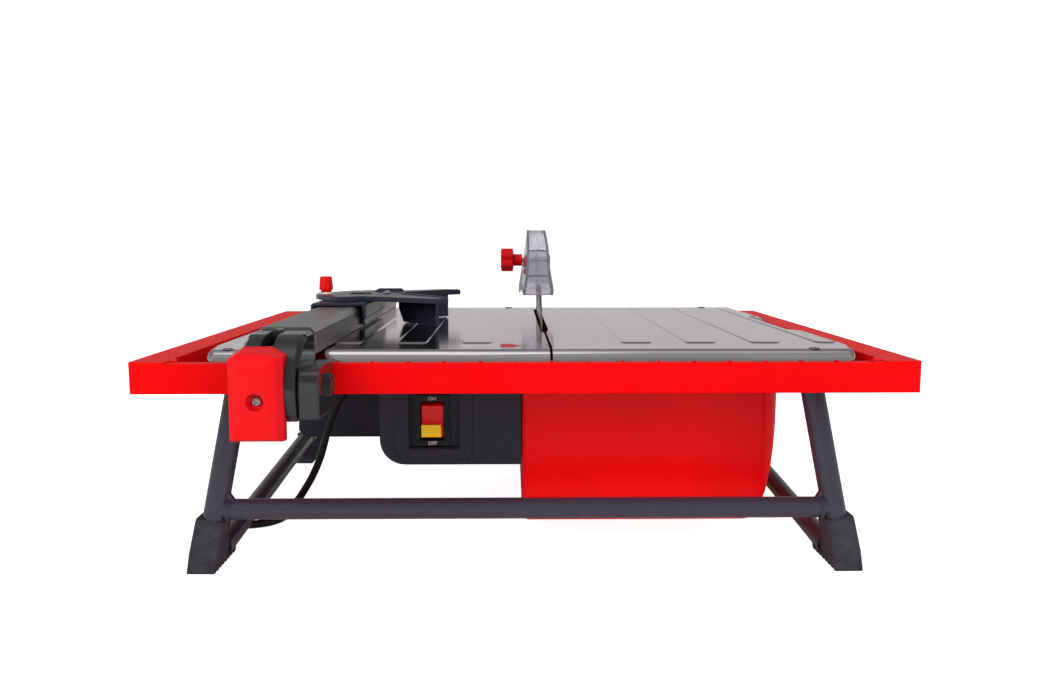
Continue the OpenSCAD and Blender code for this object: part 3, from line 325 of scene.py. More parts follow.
def clearGuard():
    # tinted clear plastic, slightly cloudy
    f = Finish("clearGuard")
    cloud = f.ramp(f.noise(26, 3), 0.3, 0.7)
    f.set(Base_Color=f.mix(cloud, (0.82, 0.79, 0.87), (0.88, 0.85, 0.92)), Roughness=0.07 + 0.04 * cloud,
          IOR=1.49, Transmission_Weight=0.9, Normal=f.bump(f.noise(60, 2), 0.06, 0.0004))
    return f.material


def guardEdge():
    # the guard's thicker rims, coloured darker and bluer: painted shade for how clear plastic looks where it
    # is seen through its thickness
    f = Finish("guardEdge")
    cloud = f.ramp(f.noise(40, 3), 0.3, 0.7)
    f.set(Base_Color=f.mix(cloud, (0.22, 0.21, 0.34), (0.27, 0.26, 0.4)), Roughness=0.16 + 0.05 * cloud,
          IOR=1.3, Transmission_Weight=0.45, Specular_IOR_Level=0.35,
          Normal=f.bump(f.noise(90, 2), 0.05, 0.0003))
    return f.material


bladeSizes = {"centre": (18.15, 330, -50), "radius": 89, "rim": 8, "overRim": 2.1}


def diamondBlade():
    # rolled steel inside, a sandy rim outside
    f = Finish("diamondBlade")
    centre = at(*bladeSizes["centre"])
    y = f.axis("Y") - centre.y
    z = f.axis("Z") - centre.z
    far = (y * y + z * z) ** 0.5
    rim = far > (bladeSizes["radius"] - bladeSizes["rim"]) / 1000
    turned = f.node("Math", {"operation": "SINE"}, far * 9000)
    grit = f.noise(2600, 3, 0.7)
    sand = f.mix(f.ramp(grit, 0.4, 0.6), (0.12, 0.11, 0.1), (0.34, 0.31, 0.27))
    colour = f.mix(rim, (0.5, 0.5, 0.52), sand)
    f.set(Base_Color=colour, Metallic=1.0 - 0.3 * rim, Roughness=0.26 + 0.4 * rim + 0.04 * turned,
          Normal=f.bump(grit * rim + 0.05 * turned, 0.5, 0.0003))
    return f.material


finishes = {name: mouldedPlastic(name, m) for name, m in mouldings.items()}
finishes.update({name: bareMetal(name, m) for name, m in metals.items()})
finishes.update({
    "polishedSheet": polishedSheet(),
    "paintedTube": paintedTube(),
    "footRubber": softRubber("footRubber", linear(52, 50, 58), 0.62, 0.6),
    "cordRubber": softRubber("cordRubber", linear(22, 22, 24), 0.42, 0.15),
    "clearGuard": clearGuard(),
    "guardEdge": guardEdge(),
    "diamondBlade": diamondBlade(),
})

finishOf = {
    "frameRed": ["table_frame"],
    "trayRed": ["water_tray"],
    "gripRed": ["fence_lever", "mitre_knob", "guard_knob"],
    "housingDark": ["motor_housing", "motor_end_cover"],
    "headDark": ["mitre_saddle", "mitre_plate"],
    "clampDark": ["fence_clamp_body", "fence_rear_hook", "cooling_fan"],
    "switchBlack": ["switch_bezel"],
    "rockerRed": ["switch_rocker"],
    "keyYellow": ["switch_key"],
    "washerPale": ["mitre_washer"],
    "polishedSheet": ["table_top"],
    "zinc": ["table_screws", "brace_bolts", "cover_screws", "clamp_screw", "lever_screw", "lever_pin",
             "mitre_pivot_screw", "guard_bolt"],
    "steel": ["arbor_bearings", "arbor_shaft", "inner_flange", "outer_flange", "arbor_nut", "knife_bracket",
              "clamp_jaw"],
    "knifeSteel": ["riving_knife"],
    "diamondBlade": ["saw_blade"],
    "aluminium": ["fence_bar"],
    "lamination": ["motor_stator"],
    "brass": ["plug_pins"],
    "paintedTube": ["front_leg_frame", "rear_leg_frame", "left_side_tube", "right_side_tube"],
    "footRubber": ["front_left_foot", "front_right_foot", "rear_left_foot", "rear_right_foot", "drain_plug"],
    "cordRubber": ["strain_relief", "power_cord", "cord_coil", "plug"],
    "clearGuard": ["blade_guard"],
}


def coat(obj, finish):
    obj.data.materials.clear()
    obj.data.materials.append(finishes[finish])


for finish, names in finishOf.items():
    for name in names:
        coat(nodes[name], finish)
print("finishes made:", len(finishes))


def addPiece(name, mesh, smooth=True):
    data = bpy.data.meshes.new(name)
    mesh.to_mesh(data)
    mesh.free()
    obj = bpy.data.objects.new(name, data)
    bpy.context.collection.objects.link(obj)
    for face in data.polygons:
        face.use_smooth = smooth
    return obj


def settle(obj):
    # turn an object and its modifiers into one plain mesh with the same name
    view = bpy.context.evaluated_depsgraph_get()
    view.update()
    data = bpy.data.meshes.new_from_object(obj.evaluated_get(view))
    name = obj.name
    bpy.data.objects.remove(obj)
    made = bpy.data.objects.new(name, data)
    bpy.context.collection.objects.link(made)
    return made


def wear(obj, finish, body, slot, *replaced):
    # give a piece its finish, its body and the CAD nodes it stands for
    coat(obj, finish)
    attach(obj, body)
    if replaced:
        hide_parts(*replaced)


def band(mesh, a, b):
    # faces between two closed rings of the same length
    for k in range(len(a)):
        n = (k + 1) % len(a)
        mesh.faces.new((a[k], a[n], b[n], b[k]))


def prism(mesh, low, high):
    # a closed solid between two outlines of the same length
    a = [mesh.verts.new(p) for p in low]
    b = [mesh.verts.new(p) for p in high]
    mesh.faces.new(a[::-1])
    mesh.faces.new(b)
    band(mesh, a, b)


def faceOut(mesh, rank, outward):
    # make all faces agree, with the one that ranks highest looking outward
    bmesh.ops.recalc_face_normals(mesh, faces=mesh.faces)
    if max(mesh.faces, key=rank).normal.dot(Vector(outward)) < 0:
        bmesh.ops.reverse_faces(mesh, faces=mesh.faces)


def faceArea(face):
    return face.calc_area()


def faceHeight(face):
    return face.calc_center_median().z


def shell(name, mesh, thick, sharp, soften=0):
    # a wall behind the mesh, in millimetres, with edges above an angle in degrees kept sharp
    piece = addPiece(name, mesh)
    wall = piece.modifiers.new("wall", "SOLIDIFY")
    wall.thickness = thick / 1000
    wall.offset = -1
    if soften:
        edges = piece.modifiers.new("edges", "BEVEL")
        edges.width = soften / 1000
        edges.segments = 2
        edges.angle_limit = math.radians(40)
    piece = settle(piece)
    piece.data.set_sharp_from_angle(angle=math.radians(sharp))
    return piece


# points closer than this, in metres, are one point
weld = 0.00001


def smoothLine(points, step):
    # a smooth curve through the points, with a point every step millimetres
    points = [Vector(p) for p in points]
    fine = []
    for i in range(len(points) - 1):
        a = points[max(i - 1, 0)]
        b, c = points[i], points[i + 1]
        d = points[min(i + 2, len(points) - 1)]
        parts = max(1, round((c - b).length / step))
        for k in range(parts):
            t = k / parts
            fine.append(0.5 * ((2 * b) + (c - a) * t + (2 * a - 5 * b + 4 * c - d) * t * t
                               + (3 * b - a - 3 * c + d) * t ** 3))
    return fine + [points[-1]]


def tubeMesh(name, path, radius, sides):
    # a round tube along a path, closed at both ends
    mesh = bmesh.new()
    normal = Vector((0, 1, 0))
    rings = []
    for i, p in enumerate(path):
        along = (path[min(i + 1, len(path) - 1)] - path[max(i - 1, 0)]).normalized()
        normal = (normal - along * normal.dot(along)).normalized()
        across = along.cross(normal)
        rings.append([mesh.verts.new(p + radius * (math.cos(a) * normal + math.sin(a) * across))
                      for a in [2 * math.pi * k / sides for k in range(sides)]])
    for a, b in zip(rings, rings[1:]):
        band(mesh, a, b)
    mesh.faces.new(rings[0][::-1])
    mesh.faces.new(rings[-1])
    bmesh.ops.recalc_face_normals(mesh, faces=mesh.faces)
    return addPiece(name, mesh)


# the stainless table: a thin sheet with rolled edges, pressed ribs and the blade's slot
# roll and drop: width and height of the rolled edge, slope: inset and height across a rib's side
sheetSizes = {"surface": 5, "thick": 1.2, "roll": 3, "drop": 10, "frontRoll": 8, "skirt": -8,
              "rib": 25.5, "ribFront": 75.5, "ribBack": 451,
              "ribs": [87, 137.5, 188.3, -38.2, -89.2, -140.2, -191.2],
              "slope": [(-0.5, 0), (0, 0), (0.6, 0.13), (1.2, 0.4), (1.8, 0.67), (2.4, 0.8), (2.9, 0.8)],
              "creases": [(47, 64, 427), (-25, 78, 411), (-3, 44, 427)],
              "creaseSlope": [(-0.3, 0), (0, 0), (0.3, 0.1), (0.6, 0.16)]}
sheetCorners = [(-234.5, 27.7, 6), (244, 27.7, 6), (244, 42, 8), (249.4, 65, 8), (249.4, 178, 6),
                (240, 188, 5), (240, 312, 2), (249.4, 312, 2), (249.4, 469.4, 6), (-238.4, 469.4, 6),
                (-238.4, 65, 8), (-234.5, 42, 8)]
edgeRib = [(227, 75.5, 8), (245.5, 75.5, 6), (245.5, 170, 5), (236, 182, 5), (236, 319, 5),
           (245.5, 328, 5), (245.5, 451, 6), (227, 451, 8)]
slotOutline = [(17.3, 20), (19.3, 20), (19.3, 162), (22, 185), (22, 435), (14.3, 435), (14.3, 172),
               (17.3, 160)]


def roundedLoop(corners, inset, steps=6):
    # an outline with round corners, moved inwards by inset
    points = []
    for i, (x, y, r) in enumerate(corners):
        here = Vector((x, y))
        a = (here - Vector(corners[i - 1][:2])).normalized()
        b = (Vector(corners[(i + 1) % len(corners)][:2]) - here).normalized()
        sideA = Vector((-a.y, a.x))
        sideB = Vector((-b.y, b.x))
        turn = a.x * b.y - a.y * b.x
        corner = here + (sideA + sideB) * inset / (1 + sideA.dot(sideB))
        radius = max(r - inset if turn > 0 else r + inset, 0.3)
        angle = math.acos(max(-1, min(1, a.dot(b))))
        start = corner - a * radius * math.tan(angle / 2)
        centre = start + sideA * (radius if turn > 0 else -radius)
        arm = start - centre
        for k in range(steps + 1):
            t = angle * k / steps * (1 if turn > 0 else -1)
            points.append(centre + Vector((arm.x * math.cos(t) - arm.y * math.sin(t),
                                           arm.x * math.sin(t) + arm.y * math.cos(t))))
    return points


def inside(point, loop):
    # whether a point lies within a closed loop
    x, y = point
    found = False
    for (ax, ay), (bx, by) in zip(loop, loop[1:] + loop[:1]):
        if (ay > y) != (by > y) and x < (bx - ax) * (y - ay) / (by - ay) + ax:
            found = not found
    return found


def rollHeight(inset):
    # how high the rolled edge is at a distance from the sheet's outline
    s = sheetSizes
    left = 1 - min(max(inset, 0) / s["roll"], 1)
    return s["surface"] - s["drop"] + s["drop"] * math.sqrt(1 - left ** 2)


def edgeLoop(inset):
    # the front edge is rolled more gently than the others
    s = sheetSizes
    extra = min(inset, s["roll"]) * (s["frontRoll"] / s["roll"] - 1)
    return roundedLoop([(x, y + extra if y < 30 else y, r) for x, y, r in sheetCorners], inset)


def sheetLoops():
    # every outline of the sheet with its height
    s = sheetSizes
    loops = [(edgeLoop(d), rollHeight(d)) for d in (0, 0.06, 0.2, 0.45, 0.8, 1.2, 1.7, 2.3, 3, 3.4)]
    half = s["rib"] / 2
    ribs = [[(x - half, s["ribFront"], 5), (x + half, s["ribFront"], 5), (x + half, s["ribBack"], 5),
             (x - half, s["ribBack"], 5)] for x in s["ribs"]]
    for rib in ribs + [edgeRib]:
        loops += [(roundedLoop(rib, inset, 7), s["surface"] + high) for inset, high in s["slope"]]
    for x, front, back in s["creases"]:
        line = [(x - 0.8, front, 0.7), (x + 0.8, front, 0.7), (x + 0.8, back, 0.7), (x - 0.8, back, 0.7)]
        loops += [(roundedLoop(line, inset, 3), s["surface"] + high) for inset, high in s["creaseSlope"]]
    return loops


def fromFront(y):
    # the inset that a place on the front roll has
    s = sheetSizes
    return (y - sheetCorners[0][1]) * s["roll"] / s["frontRoll"]


def makeSheet():
    s = sheetSizes
    flat = []
    heights = []
    edges = []
    for loop, high in sheetLoops() + [([Vector(p) for p in slotOutline], None)]:
        first = len(flat)
        flat += loop
        heights += [high] * len(loop)
        edges += [(first + i, first + (i + 1) % len(loop)) for i in range(len(loop))]
    points, joins, faces, before = delaunay_2d_cdt(flat, edges, [], 0, 0.0001, True)[:4]
    outline = [tuple(p) for p in roundedLoop(sheetCorners, 0)]
    mesh = bmesh.new()
    made = []
    for p, ids in zip(points, before):
        known = [heights[i] for i in ids if heights[i] is not None]
        made.append(mesh.verts.new(at(p.x, p.y, known[0] if known else rollHeight(fromFront(p.y)))))
    for face in faces:
        middle = sum((points[i] for i in face), Vector((0, 0))) / len(face)
        if inside(middle, outline) and not inside(middle, slotOutline):
            mesh.faces.new([made[i] for i in face])
    bmesh.ops.delete(mesh, geom=[v for v in mesh.verts if not v.link_faces], context="VERTS")
    low = at(0, 0, s["surface"] - s["drop"]).z
    rim = [e for e in mesh.edges if e.is_boundary and all(abs(v.co.z - low) < 1e-6 for v in e.verts)]
    folded = bmesh.ops.extrude_edge_only(mesh, edges=rim)["geom"]
    for v in folded:
        if isinstance(v, bmesh.types.BMVert):
            v.co.z = at(0, 0, s["skirt"]).z
    faceOut(mesh, faceArea, (0, 0, 1))
    piece = shell("stainlessTable", mesh, s["thick"], 50)
    even = piece.modifiers.new("even", "WEIGHTED_NORMAL")
    even.keep_sharp = True
    piece = settle(piece)
    wear(piece, "polishedSheet", "base", "stainless", "table_top")


makeSheet()
print("table sheet made")


class Shape(Web):
    # a geometry tree with named inputs
    def __init__(self, name, **sockets):
        super().__init__(bpy.data.node_groups.new(name, "GeometryNodeTree"), "GeometryNode")
        sides = self.tree.interface
        sides.new_socket("Geometry", in_out="OUTPUT", socket_type="NodeSocketGeometry")
        sides.new_socket("Geometry", in_out="INPUT", socket_type="NodeSocketGeometry")
        self.ids = {}
        for key, kind in sockets.items():
            made = sides.new_socket(key, in_out="INPUT", socket_type="NodeSocket" + kind)
            self.ids[key] = made.identifier
        self.start = self.tree.nodes.new("NodeGroupInput")
        self.end = self.tree.nodes.new("NodeGroupOutput")

    def given(self, name="Geometry"):
        return Value(self, self.start.outputs[name])

    def close(self, shape):
        whole = self.node("RealizeInstances", None, shape)
        whole = self.node("SetMaterial", None, Geometry=whole, Material=self.given("Finish"))
        self.tree.links.new(whole.out, self.end.inputs[0])

    def joined(self, *shapes):
        made = self.tree.nodes.new("GeometryNodeJoinGeometry")
        for shape in shapes:
            self.tree.links.new(shape.out, made.inputs[0])
        return Value(self, made.outputs[0])

    def vector(self, x, y, z):
        return self.node("ShaderNodeCombineXYZ", None, x, y, z)

    def grow(self, name, points, **values):
        # run the tree on a mesh of bare points and keep the result as a plain mesh
        data = bpy.data.meshes.new(name)
        data.from_pydata([tuple(p) for p in points], [], [])
        obj = bpy.data.objects.new(name, data)
        bpy.context.collection.objects.link(obj)
        turns = values.pop("turns", None)
        if turns:
            data.attributes.new("turn", "FLOAT_VECTOR", "POINT")
            data.attributes["turn"].data.foreach_set("vector", [math.radians(a) for t in turns for a in t])
        run = obj.modifiers.new(name, "NODES")
        run.node_group = self.tree
        for key, value in values.items():
            run[self.ids[key]] = value
        return settle(obj)


# the inch scale moulded on the front rail
scaleSizes = {"step": 25.4, "zero": 17.5, "first": -8, "count": 18, "letter": 5.6, "proud": 0.9,
              "front": 6, "tickFront": 2.4, "tickBack": 4.6, "tickWide": 0.6}


def railScaleShape():
    g = Shape("railScale", Step="Float", First="Float", Count="Int", Letter="Float", Proud="Float",
              Finish="Material")
    s = scaleSizes
    origin = at(s["zero"], s["front"], -1)
    number = g.node("InputIndex") + g.given("First")
    row = g.node("Points", None, g.given("Count"),
                 g.vector(number * g.given("Step") + origin.x, origin.y, origin.z))
    each = g.tree.nodes.new("GeometryNodeForeachGeometryElementInput")
    done = g.tree.nodes.new("GeometryNodeForeachGeometryElementOutput")
    each.pair_with_output(done)
    done.domain = "POINT"
    done.input_items.new("FLOAT", "Number")
    done.input_items.new("VECTOR", "Spot")
    g.tree.links.new(row.out, each.inputs["Geometry"])
    g.tree.links.new(number.work("ABSOLUTE", number, 0).out, each.inputs["Number"])
    g.tree.links.new(g.node("InputPosition").out, each.inputs["Spot"])
    word = g.node("FunctionNodeValueToString", None, Value(g, each.outputs["Number"]))
    letters = g.node("StringToCurves", {"align_x": "CENTER"}, String=word, Size=g.given("Letter"))
    flat = g.node("FillCurve", None, letters)
    flat = g.node("RealizeInstances", None, flat)
    tall = g.node("ExtrudeMesh", None, Mesh=flat, Offset_Scale=g.given("Proud"), Individual=False)
    under = g.node("FlipFaces", None, flat)
    solid = g.node("MergeByDistance", None, Geometry=g.joined(tall, under), Distance=weld)
    moved = g.node("SetPosition", None, Geometry=solid, Offset=Value(g, each.outputs["Spot"]))
    g.tree.links.new(moved.out, done.inputs["Geometry"])
    length = (s["tickBack"] - s["tickFront"]) / 1000
    tick = g.node("MeshCube", None, g.vector(s["tickWide"] / 1000, length, g.given("Proud")))
    up = (s["tickFront"] - s["front"]) / 1000 + length / 2
    tick = g.node("SetPosition", None, Geometry=tick, Offset=g.vector(0, up, g.given("Proud") * 0.5))
    ticks = g.node("InstanceOnPoints", None, Points=row, Instance=tick)
    g.close(g.joined(Value(g, done.outputs[2]), ticks))
    return g


def makeScale():
    s = scaleSizes
    piece = railScaleShape().grow("railScale", [(0, 0, 0)], Step=s["step"] / 1000, First=float(s["first"]),
                                  Count=s["count"], Letter=s["letter"] / 1000, Proud=s["proud"] / 1000,
                                  Finish=finishes["frameRed"])
    wear(piece, "frameRed", "base", "red_plastic")
    print("scale made,", len(piece.data.polygons), "faces")


makeScale()


def lathe(name, outline, sides):
    # a solid turned round z from points (radius, height)
    mesh = bmesh.new()
    rings = []
    for radius, high in outline:
        if radius == 0:
            rings.append([mesh.verts.new((0, 0, high))])
        else:
            turns = [2 * math.pi * k / sides for k in range(sides)]
            rings.append([mesh.verts.new((radius * math.cos(t), radius * math.sin(t), high)) for t in turns])
    for low, high in zip(rings, rings[1:]):
        for k in range(sides):
            n = (k + 1) % sides
            corners = [low[k % len(low)], low[n % len(low)], high[n % len(high)], high[k % len(high)]]
            mesh.faces.new(list(dict.fromkeys(corners)))
    bmesh.ops.recalc_face_normals(mesh, faces=mesh.faces)
    return addPiece(name, mesh)


# one pan head with a cross recess, one unit in radius and height, set on points by a tree
headSizes = {"outline": [(0, 0), (1, 0), (1, 0.3), (0.93, 0.6), (0.76, 0.84), (0.5, 0.97), (0, 1)],
             "sides": 28, "slot": 0.2, "reach": 0.58, "depth": 0.62, "above": 1.1, "narrow": 0.55,
             "flare": 1.8}


def crossHead():
    h = headSizes
    head = lathe("crossHead", h["outline"], h["sides"])
    mesh = bmesh.new()
    for wide, deep in ((h["reach"], h["slot"]), (h["slot"], h["reach"])):
        x = wide * h["narrow"]
        y = deep * h["narrow"]
        corners = [(-x, -y), (x, -y), (x, y), (-x, y)]
        prism(mesh, [(x, y, 1 - h["depth"]) for x, y in corners],
              [(x * h["flare"], y * h["flare"], h["above"]) for x, y in corners])
    cross = addPiece("cross", mesh, False)
    cut = head.modifiers.new("cut", "BOOLEAN")
    cut.operation = "DIFFERENCE"
    cut.solver = "EXACT"
    cut.use_self = True
    cut.object = cross
    head = settle(head)
    bpy.data.objects.remove(cross)
    head.data.set_sharp_from_angle(angle=math.radians(35))
    return head


# height of the nuts on the braces' bolts, in metres
nutHigh = 0.004


def screwShape():
    g = Shape("crossScrews", Head="Object", Wide="Float", High="Float", Shank="Float", Long="Float",
              Nut="Float", Gap="Float", Finish="Material")
    turn = g.node("InputNamedAttribute", {"data_type": "FLOAT_VECTOR"}, "turn")
    head = g.node("ObjectInfo", None, g.given("Head"), out=4)
    size = g.vector(g.given("Wide"), g.given("Wide"), g.given("High"))
    heads = g.node("InstanceOnPoints", None, Points=g.given(), Instance=head, Rotation=turn, Scale=size)
    rod = g.node("MeshCylinder", None, Vertices=20, Radius=g.given("Shank"), Depth=g.given("Long"))
    rod = g.node("SetPosition", None, Geometry=rod, Offset=g.vector(0, 0, g.given("Long") * -0.5))
    nut = g.node("MeshCylinder", None, Vertices=6, Radius=g.given("Nut"), Depth=nutHigh)
    nut = g.node("SetPosition", None, Geometry=nut, Offset=g.vector(0, 0, g.given("Gap") * -1 - nutHigh / 2))
    rods = g.node("InstanceOnPoints", None, Points=g.given(), Instance=g.joined(rod, nut), Rotation=turn)
    g.close(g.joined(heads, rods))
    return g


# where the cross-head screws sit and which way their heads face, in turns about x, y and z
screwSets = [
    {"name": "tableScrews", "node": "table_screws", "wide": 4.2, "high": 1, "shank": 2, "long": 17,
     "at": [(-220, 37, 5), (-220, 460, 5), (214, 37, 5), (214, 462, 5), (-14, 462, 5)],
     "turn": [(0, 0, 20), (0, 0, 65), (0, 0, 40), (0, 0, 10), (0, 0, 75)]},
    {"name": "coverScrews", "node": "cover_screws", "wide": 4, "high": 1.8, "shank": 2.2, "long": 16.9,
     "at": [(-222, y, z) for y in (280, 392) for z in (-102, -29)], "turn": [(0, -90, 0)] * 4},
    {"name": "braceBolts", "node": "brace_bolts", "wide": 5, "high": 2.8, "shank": 2.5, "long": 11,
     "nut": 5, "gap": 7.4, "at": [(-241.6, 392, -132), (241.6, 392, -132)],
     "turn": [(0, -90, 0), (0, 90, 0)]},
    {"name": "clampScrew", "node": "clamp_screw", "wide": 3.2, "high": 1.1, "shank": 2, "long": 11.5,
     "at": [(-171.25, -4.6, 23.5)], "turn": [(0, 0, 30)]},
    {"name": "leverScrew", "node": "lever_screw", "wide": 3.4, "high": 1.8, "shank": 1.9, "long": 1.3,
     "at": [(-174.8, -57.6, -17.8)], "turn": [(90, 20, 0)]},
    {"name": "pivotScrew", "node": "mitre_pivot_screw", "wide": 3.6, "high": 3.1, "shank": 2.4,
     "long": 7.1, "at": [(-132, 268, 33.1)], "turn": [(0, 0, 25)]},
]


def makeScrews():
    head = crossHead()
    g = screwShape()
    for s in screwSets:
        piece = g.grow(s["name"], [at(*p) for p in s["at"]], turns=s["turn"], Head=head,
                       Wide=s["wide"] / 1000, High=s["high"] / 1000, Shank=s["shank"] / 1000,
                       Long=s["long"] / 1000, Nut=s.get("nut", s["shank"] * 0.8) / 1000,
                       Gap=s.get("gap", 0.2) / 1000, Finish=finishes["zinc"])
        node = nodes[s["node"]]
        wear(piece, "zinc", body_of(node)[0], "steel", s["node"])
    bpy.data.objects.remove(head)
    print("screws made:", sum(len(s["at"]) for s in screwSets))


makeScrews()


# raised ridges round both faces of the blade's diamond rim
ridgeSizes = {"count": 72, "long": 7, "wide": 1.3, "proud": 0.06, "slant": 25, "inset": 0.6}


def rimShape():
    g = Shape("bladeRidges", Count="Int", Radius="Float", Long="Float", Wide="Float", Thick="Float",
              Slant="Float", Finish="Material")
    ring = g.node("MeshCircle", None, Vertices=g.given("Count"), Radius=g.given("Radius"))
    bar = g.node("MeshCube", None, g.vector(g.given("Long"), g.given("Wide"), g.given("Thick")))
    step = 2 * math.pi / g.given("Count")
    turn = g.vector(0, 0, g.node("InputIndex") * step + g.given("Slant"))
    bars = g.node("InstanceOnPoints", None, Points=ring, Instance=bar, Rotation=turn)
    g.close(bars)
    return g


def makeRim():
    r = ridgeSizes
    piece = rimShape().grow("bladeRidges", [(0, 0, 0)], Count=r["count"],
                            Radius=(bladeSizes["radius"] - r["long"] / 2 - r["inset"]) / 1000,
                            Long=r["long"] / 1000, Wide=r["wide"] / 1000,
                            Thick=(bladeSizes["overRim"] + 2 * r["proud"]) / 1000,
                            Slant=math.radians(r["slant"]), Finish=finishes["diamondBlade"])
    centre = at(*bladeSizes["centre"])
    for v in piece.data.vertices:
        x, y, z = v.co
        v.co = centre + Vector((z, x, y))
    wear(piece, "diamondBlade", "rotor", "machined_steel")


makeRim()
print("blade ridges made")

# the clear guard: a shell lofted from its top line to its lower edge, open below
guardSizes = {
    "middle": 15.5, "thick": 1.8, "levels": [0, 0.14, 0.3, 0.45, 0.58, 0.72, 0.86, 1], "slit": (16.9, 19.4),
    "slitFrom": 5, "backFrom": 3, "soften": 0.7, "rimRound": 1.25, "rimInset": 0.6,
    "bars": (0, 4), "barRound": 0.75, "barBow": 1.1, "barLow": 0.4,
    "top": [(290, 74), (300, 77), (330, 85.5), (362, 94), (374, 95), (392, 90.5), (410, 82), (425, 72),
            (435, 60)],
    "low": [(275, 31), (289, 31), (306, 35), (330, 32), (352, 28.5), (376, 28), (398, 29), (418, 31),
            (435, 31)],
    "frontHalf": [(28, 14.8), (40, 13.2), (50, 11.4), (70, 10.6), (78, 9.8), (95, 9.2)],
    "rearHalf": [(28, 18.7), (50, 15.2), (62, 13), (75, 11.4), (95, 9.2)],
}


def between(table, z):
    # the value at z in a table of (z, value)
    if z <= table[0][0]:
        return table[0][1]
    for (a, va), (b, vb) in zip(table, table[1:]):
        if z <= b:
            return va + (vb - va) * (z - a) / (b - a)
    return table[-1][1]


def guardWall(k, t):
    # a point of the guard's right wall: half width, y and z
    g = guardSizes
    (ya, za), (yb, zb) = g["top"][k], g["low"][k]
    y = ya + (yb - ya) * t
    z = za + (zb - za) * t
    back = min(1, k / g["backFrom"])
    back = back * back * (3 - 2 * back)
    return between(g["frontHalf"], z) * (1 - back) + between(g["rearHalf"], z) * back, y, z


def makeGuard():
    g = guardSizes
    mesh = bmesh.new()
    count = len(g["top"])
    rows = len(g["levels"])
    walls = {}
    for side in (-1, 1):
        for k in range(count):
            for j, t in enumerate(g["levels"]):
                half, y, z = guardWall(k, t)
                walls[side, k, j] = mesh.verts.new(at(g["middle"] + side * half, y, z))
        for k in range(count - 1):
            for j in range(rows - 1):
                mesh.faces.new((walls[side, k, j], walls[side, k + 1, j], walls[side, k + 1, j + 1],
                                walls[side, k, j + 1]))

    def strip(places, slitFrom):
        # a band that joins the two walls along places, slit for the knife from one place on
        lines = []
        for k, j in places:
            left = walls[-1, k, j]
            right = walls[1, k, j]
            middle = [mesh.verts.new((x / 1000, left.co.y, left.co.z)) for x in g["slit"]]
            lines.append([left] + middle + [right])
        for i, (a, b) in enumerate(zip(lines, lines[1:])):
            for c in range(3):
                if c != 1 or i < slitFrom:
                    mesh.faces.new((a[c], a[c + 1], b[c + 1], b[c]))

    strip([(k, 0) for k in range(count)], g["slitFrom"])
    strip([(0, j) for j in range(rows)], rows)
    strip([(count - 1, j) for j in range(rows)], 0)
    bmesh.ops.remove_doubles(mesh, verts=mesh.verts, dist=weld)
    faceOut(mesh, faceHeight, (0, 0, 1))
    piece = shell("clearHood", mesh, g["thick"], 38, g["soften"])
    wear(piece, "clearGuard", "guard", "clear_plastic", "blade_guard")


def makeGuardRims():
    # rounded rims along the front edges and across the ends of the front panel
    g = guardSizes
    paths = []
    for side in (-1, 1):
        line = [guardWall(k, 0) for k in (3, 2, 1, 0)] + [guardWall(0, t) for t in g["levels"][1:]]
        paths.append(([at(g["middle"] + side * (half - g["rimInset"]), y + g["rimInset"], z)
                       for half, y, z in line], g["rimRound"]))
    for j in g["bars"]:
        half, y, z = guardWall(0, g["levels"][j])
        steps = [i / 8 for i in range(9)]
        paths.append(([at(g["middle"] + half * (2 * t - 1), y + g["barLow"],
                          z + g["barBow"] * math.sin(math.pi * t) - g["barLow"])
                       for t in steps], g["barRound"]))
    whole = bmesh.new()
    for path, radius in paths:
        rim = tubeMesh("rim", path, radius / 1000, 10)
        whole.from_mesh(rim.data)
        bpy.data.objects.remove(rim)
    # the rims get the darker, bluer rim finish, which is painted shade
    wear(addPiece("hoodRims", whole), "guardEdge", "guard", "clear_plastic")


makeGuard()
makeGuardRims()
print("guard made")

# a stepped surround round the switch's recess, on the housing's front
surroundSizes = {"x": (-95, -55), "z": (-85.6, -24), "front": 111.3, "thick": 0.8,
                 "steps": [(0.6, 0), (1.2, 1), (4.6, 1), (5.6, 0.55), (11.2, 0.5), (12.4, -0.3)]}


def makeSurround():
    s = surroundSizes
    mesh = bmesh.new()
    rings = []
    for out, proud in s["steps"]:
        (x0, x1), (z0, z1) = s["x"], s["z"]
        loop = roundedLoop([(x0, z0, 1), (x1, z0, 1), (x1, z1, 1), (x0, z1, 1)], -out, 5)
        rings.append([mesh.verts.new(at(p.x, s["front"] - proud, min(p.y, z1))) for p in loop])
    for a, b in zip(rings, rings[1:]):
        band(mesh, a, b)
    bmesh.ops.remove_doubles(mesh, verts=mesh.verts, dist=weld)
    faceOut(mesh, faceArea, (0, -1, 0))
    piece = shell("switchSurround", mesh, s["thick"], 30)
    wear(piece, "housingDark", "base", "dark_plastic")


makeSurround()

# the words by the switch and the arrow on the table
# overCapital: the type size over the height of a capital, bold: how far strokes are widened, in metres
wordSizes = {"letter": 3.1, "overCapital": 1.35, "bold": 0.00004, "thick": 0.08, "front": 112.6,
             "words": [("ON", -76.4, -44.9), ("OFF", -76.4, -82.2)]}
arrowOutline = [(-19.4, 49.3), (-9, 50.3), (-8.2, 53), (-3.8, 58.5), (-8.2, 63.5), (-9, 68.5), (-19.6, 71)]
arrowGap = 0.01
arrowThick = 0.1


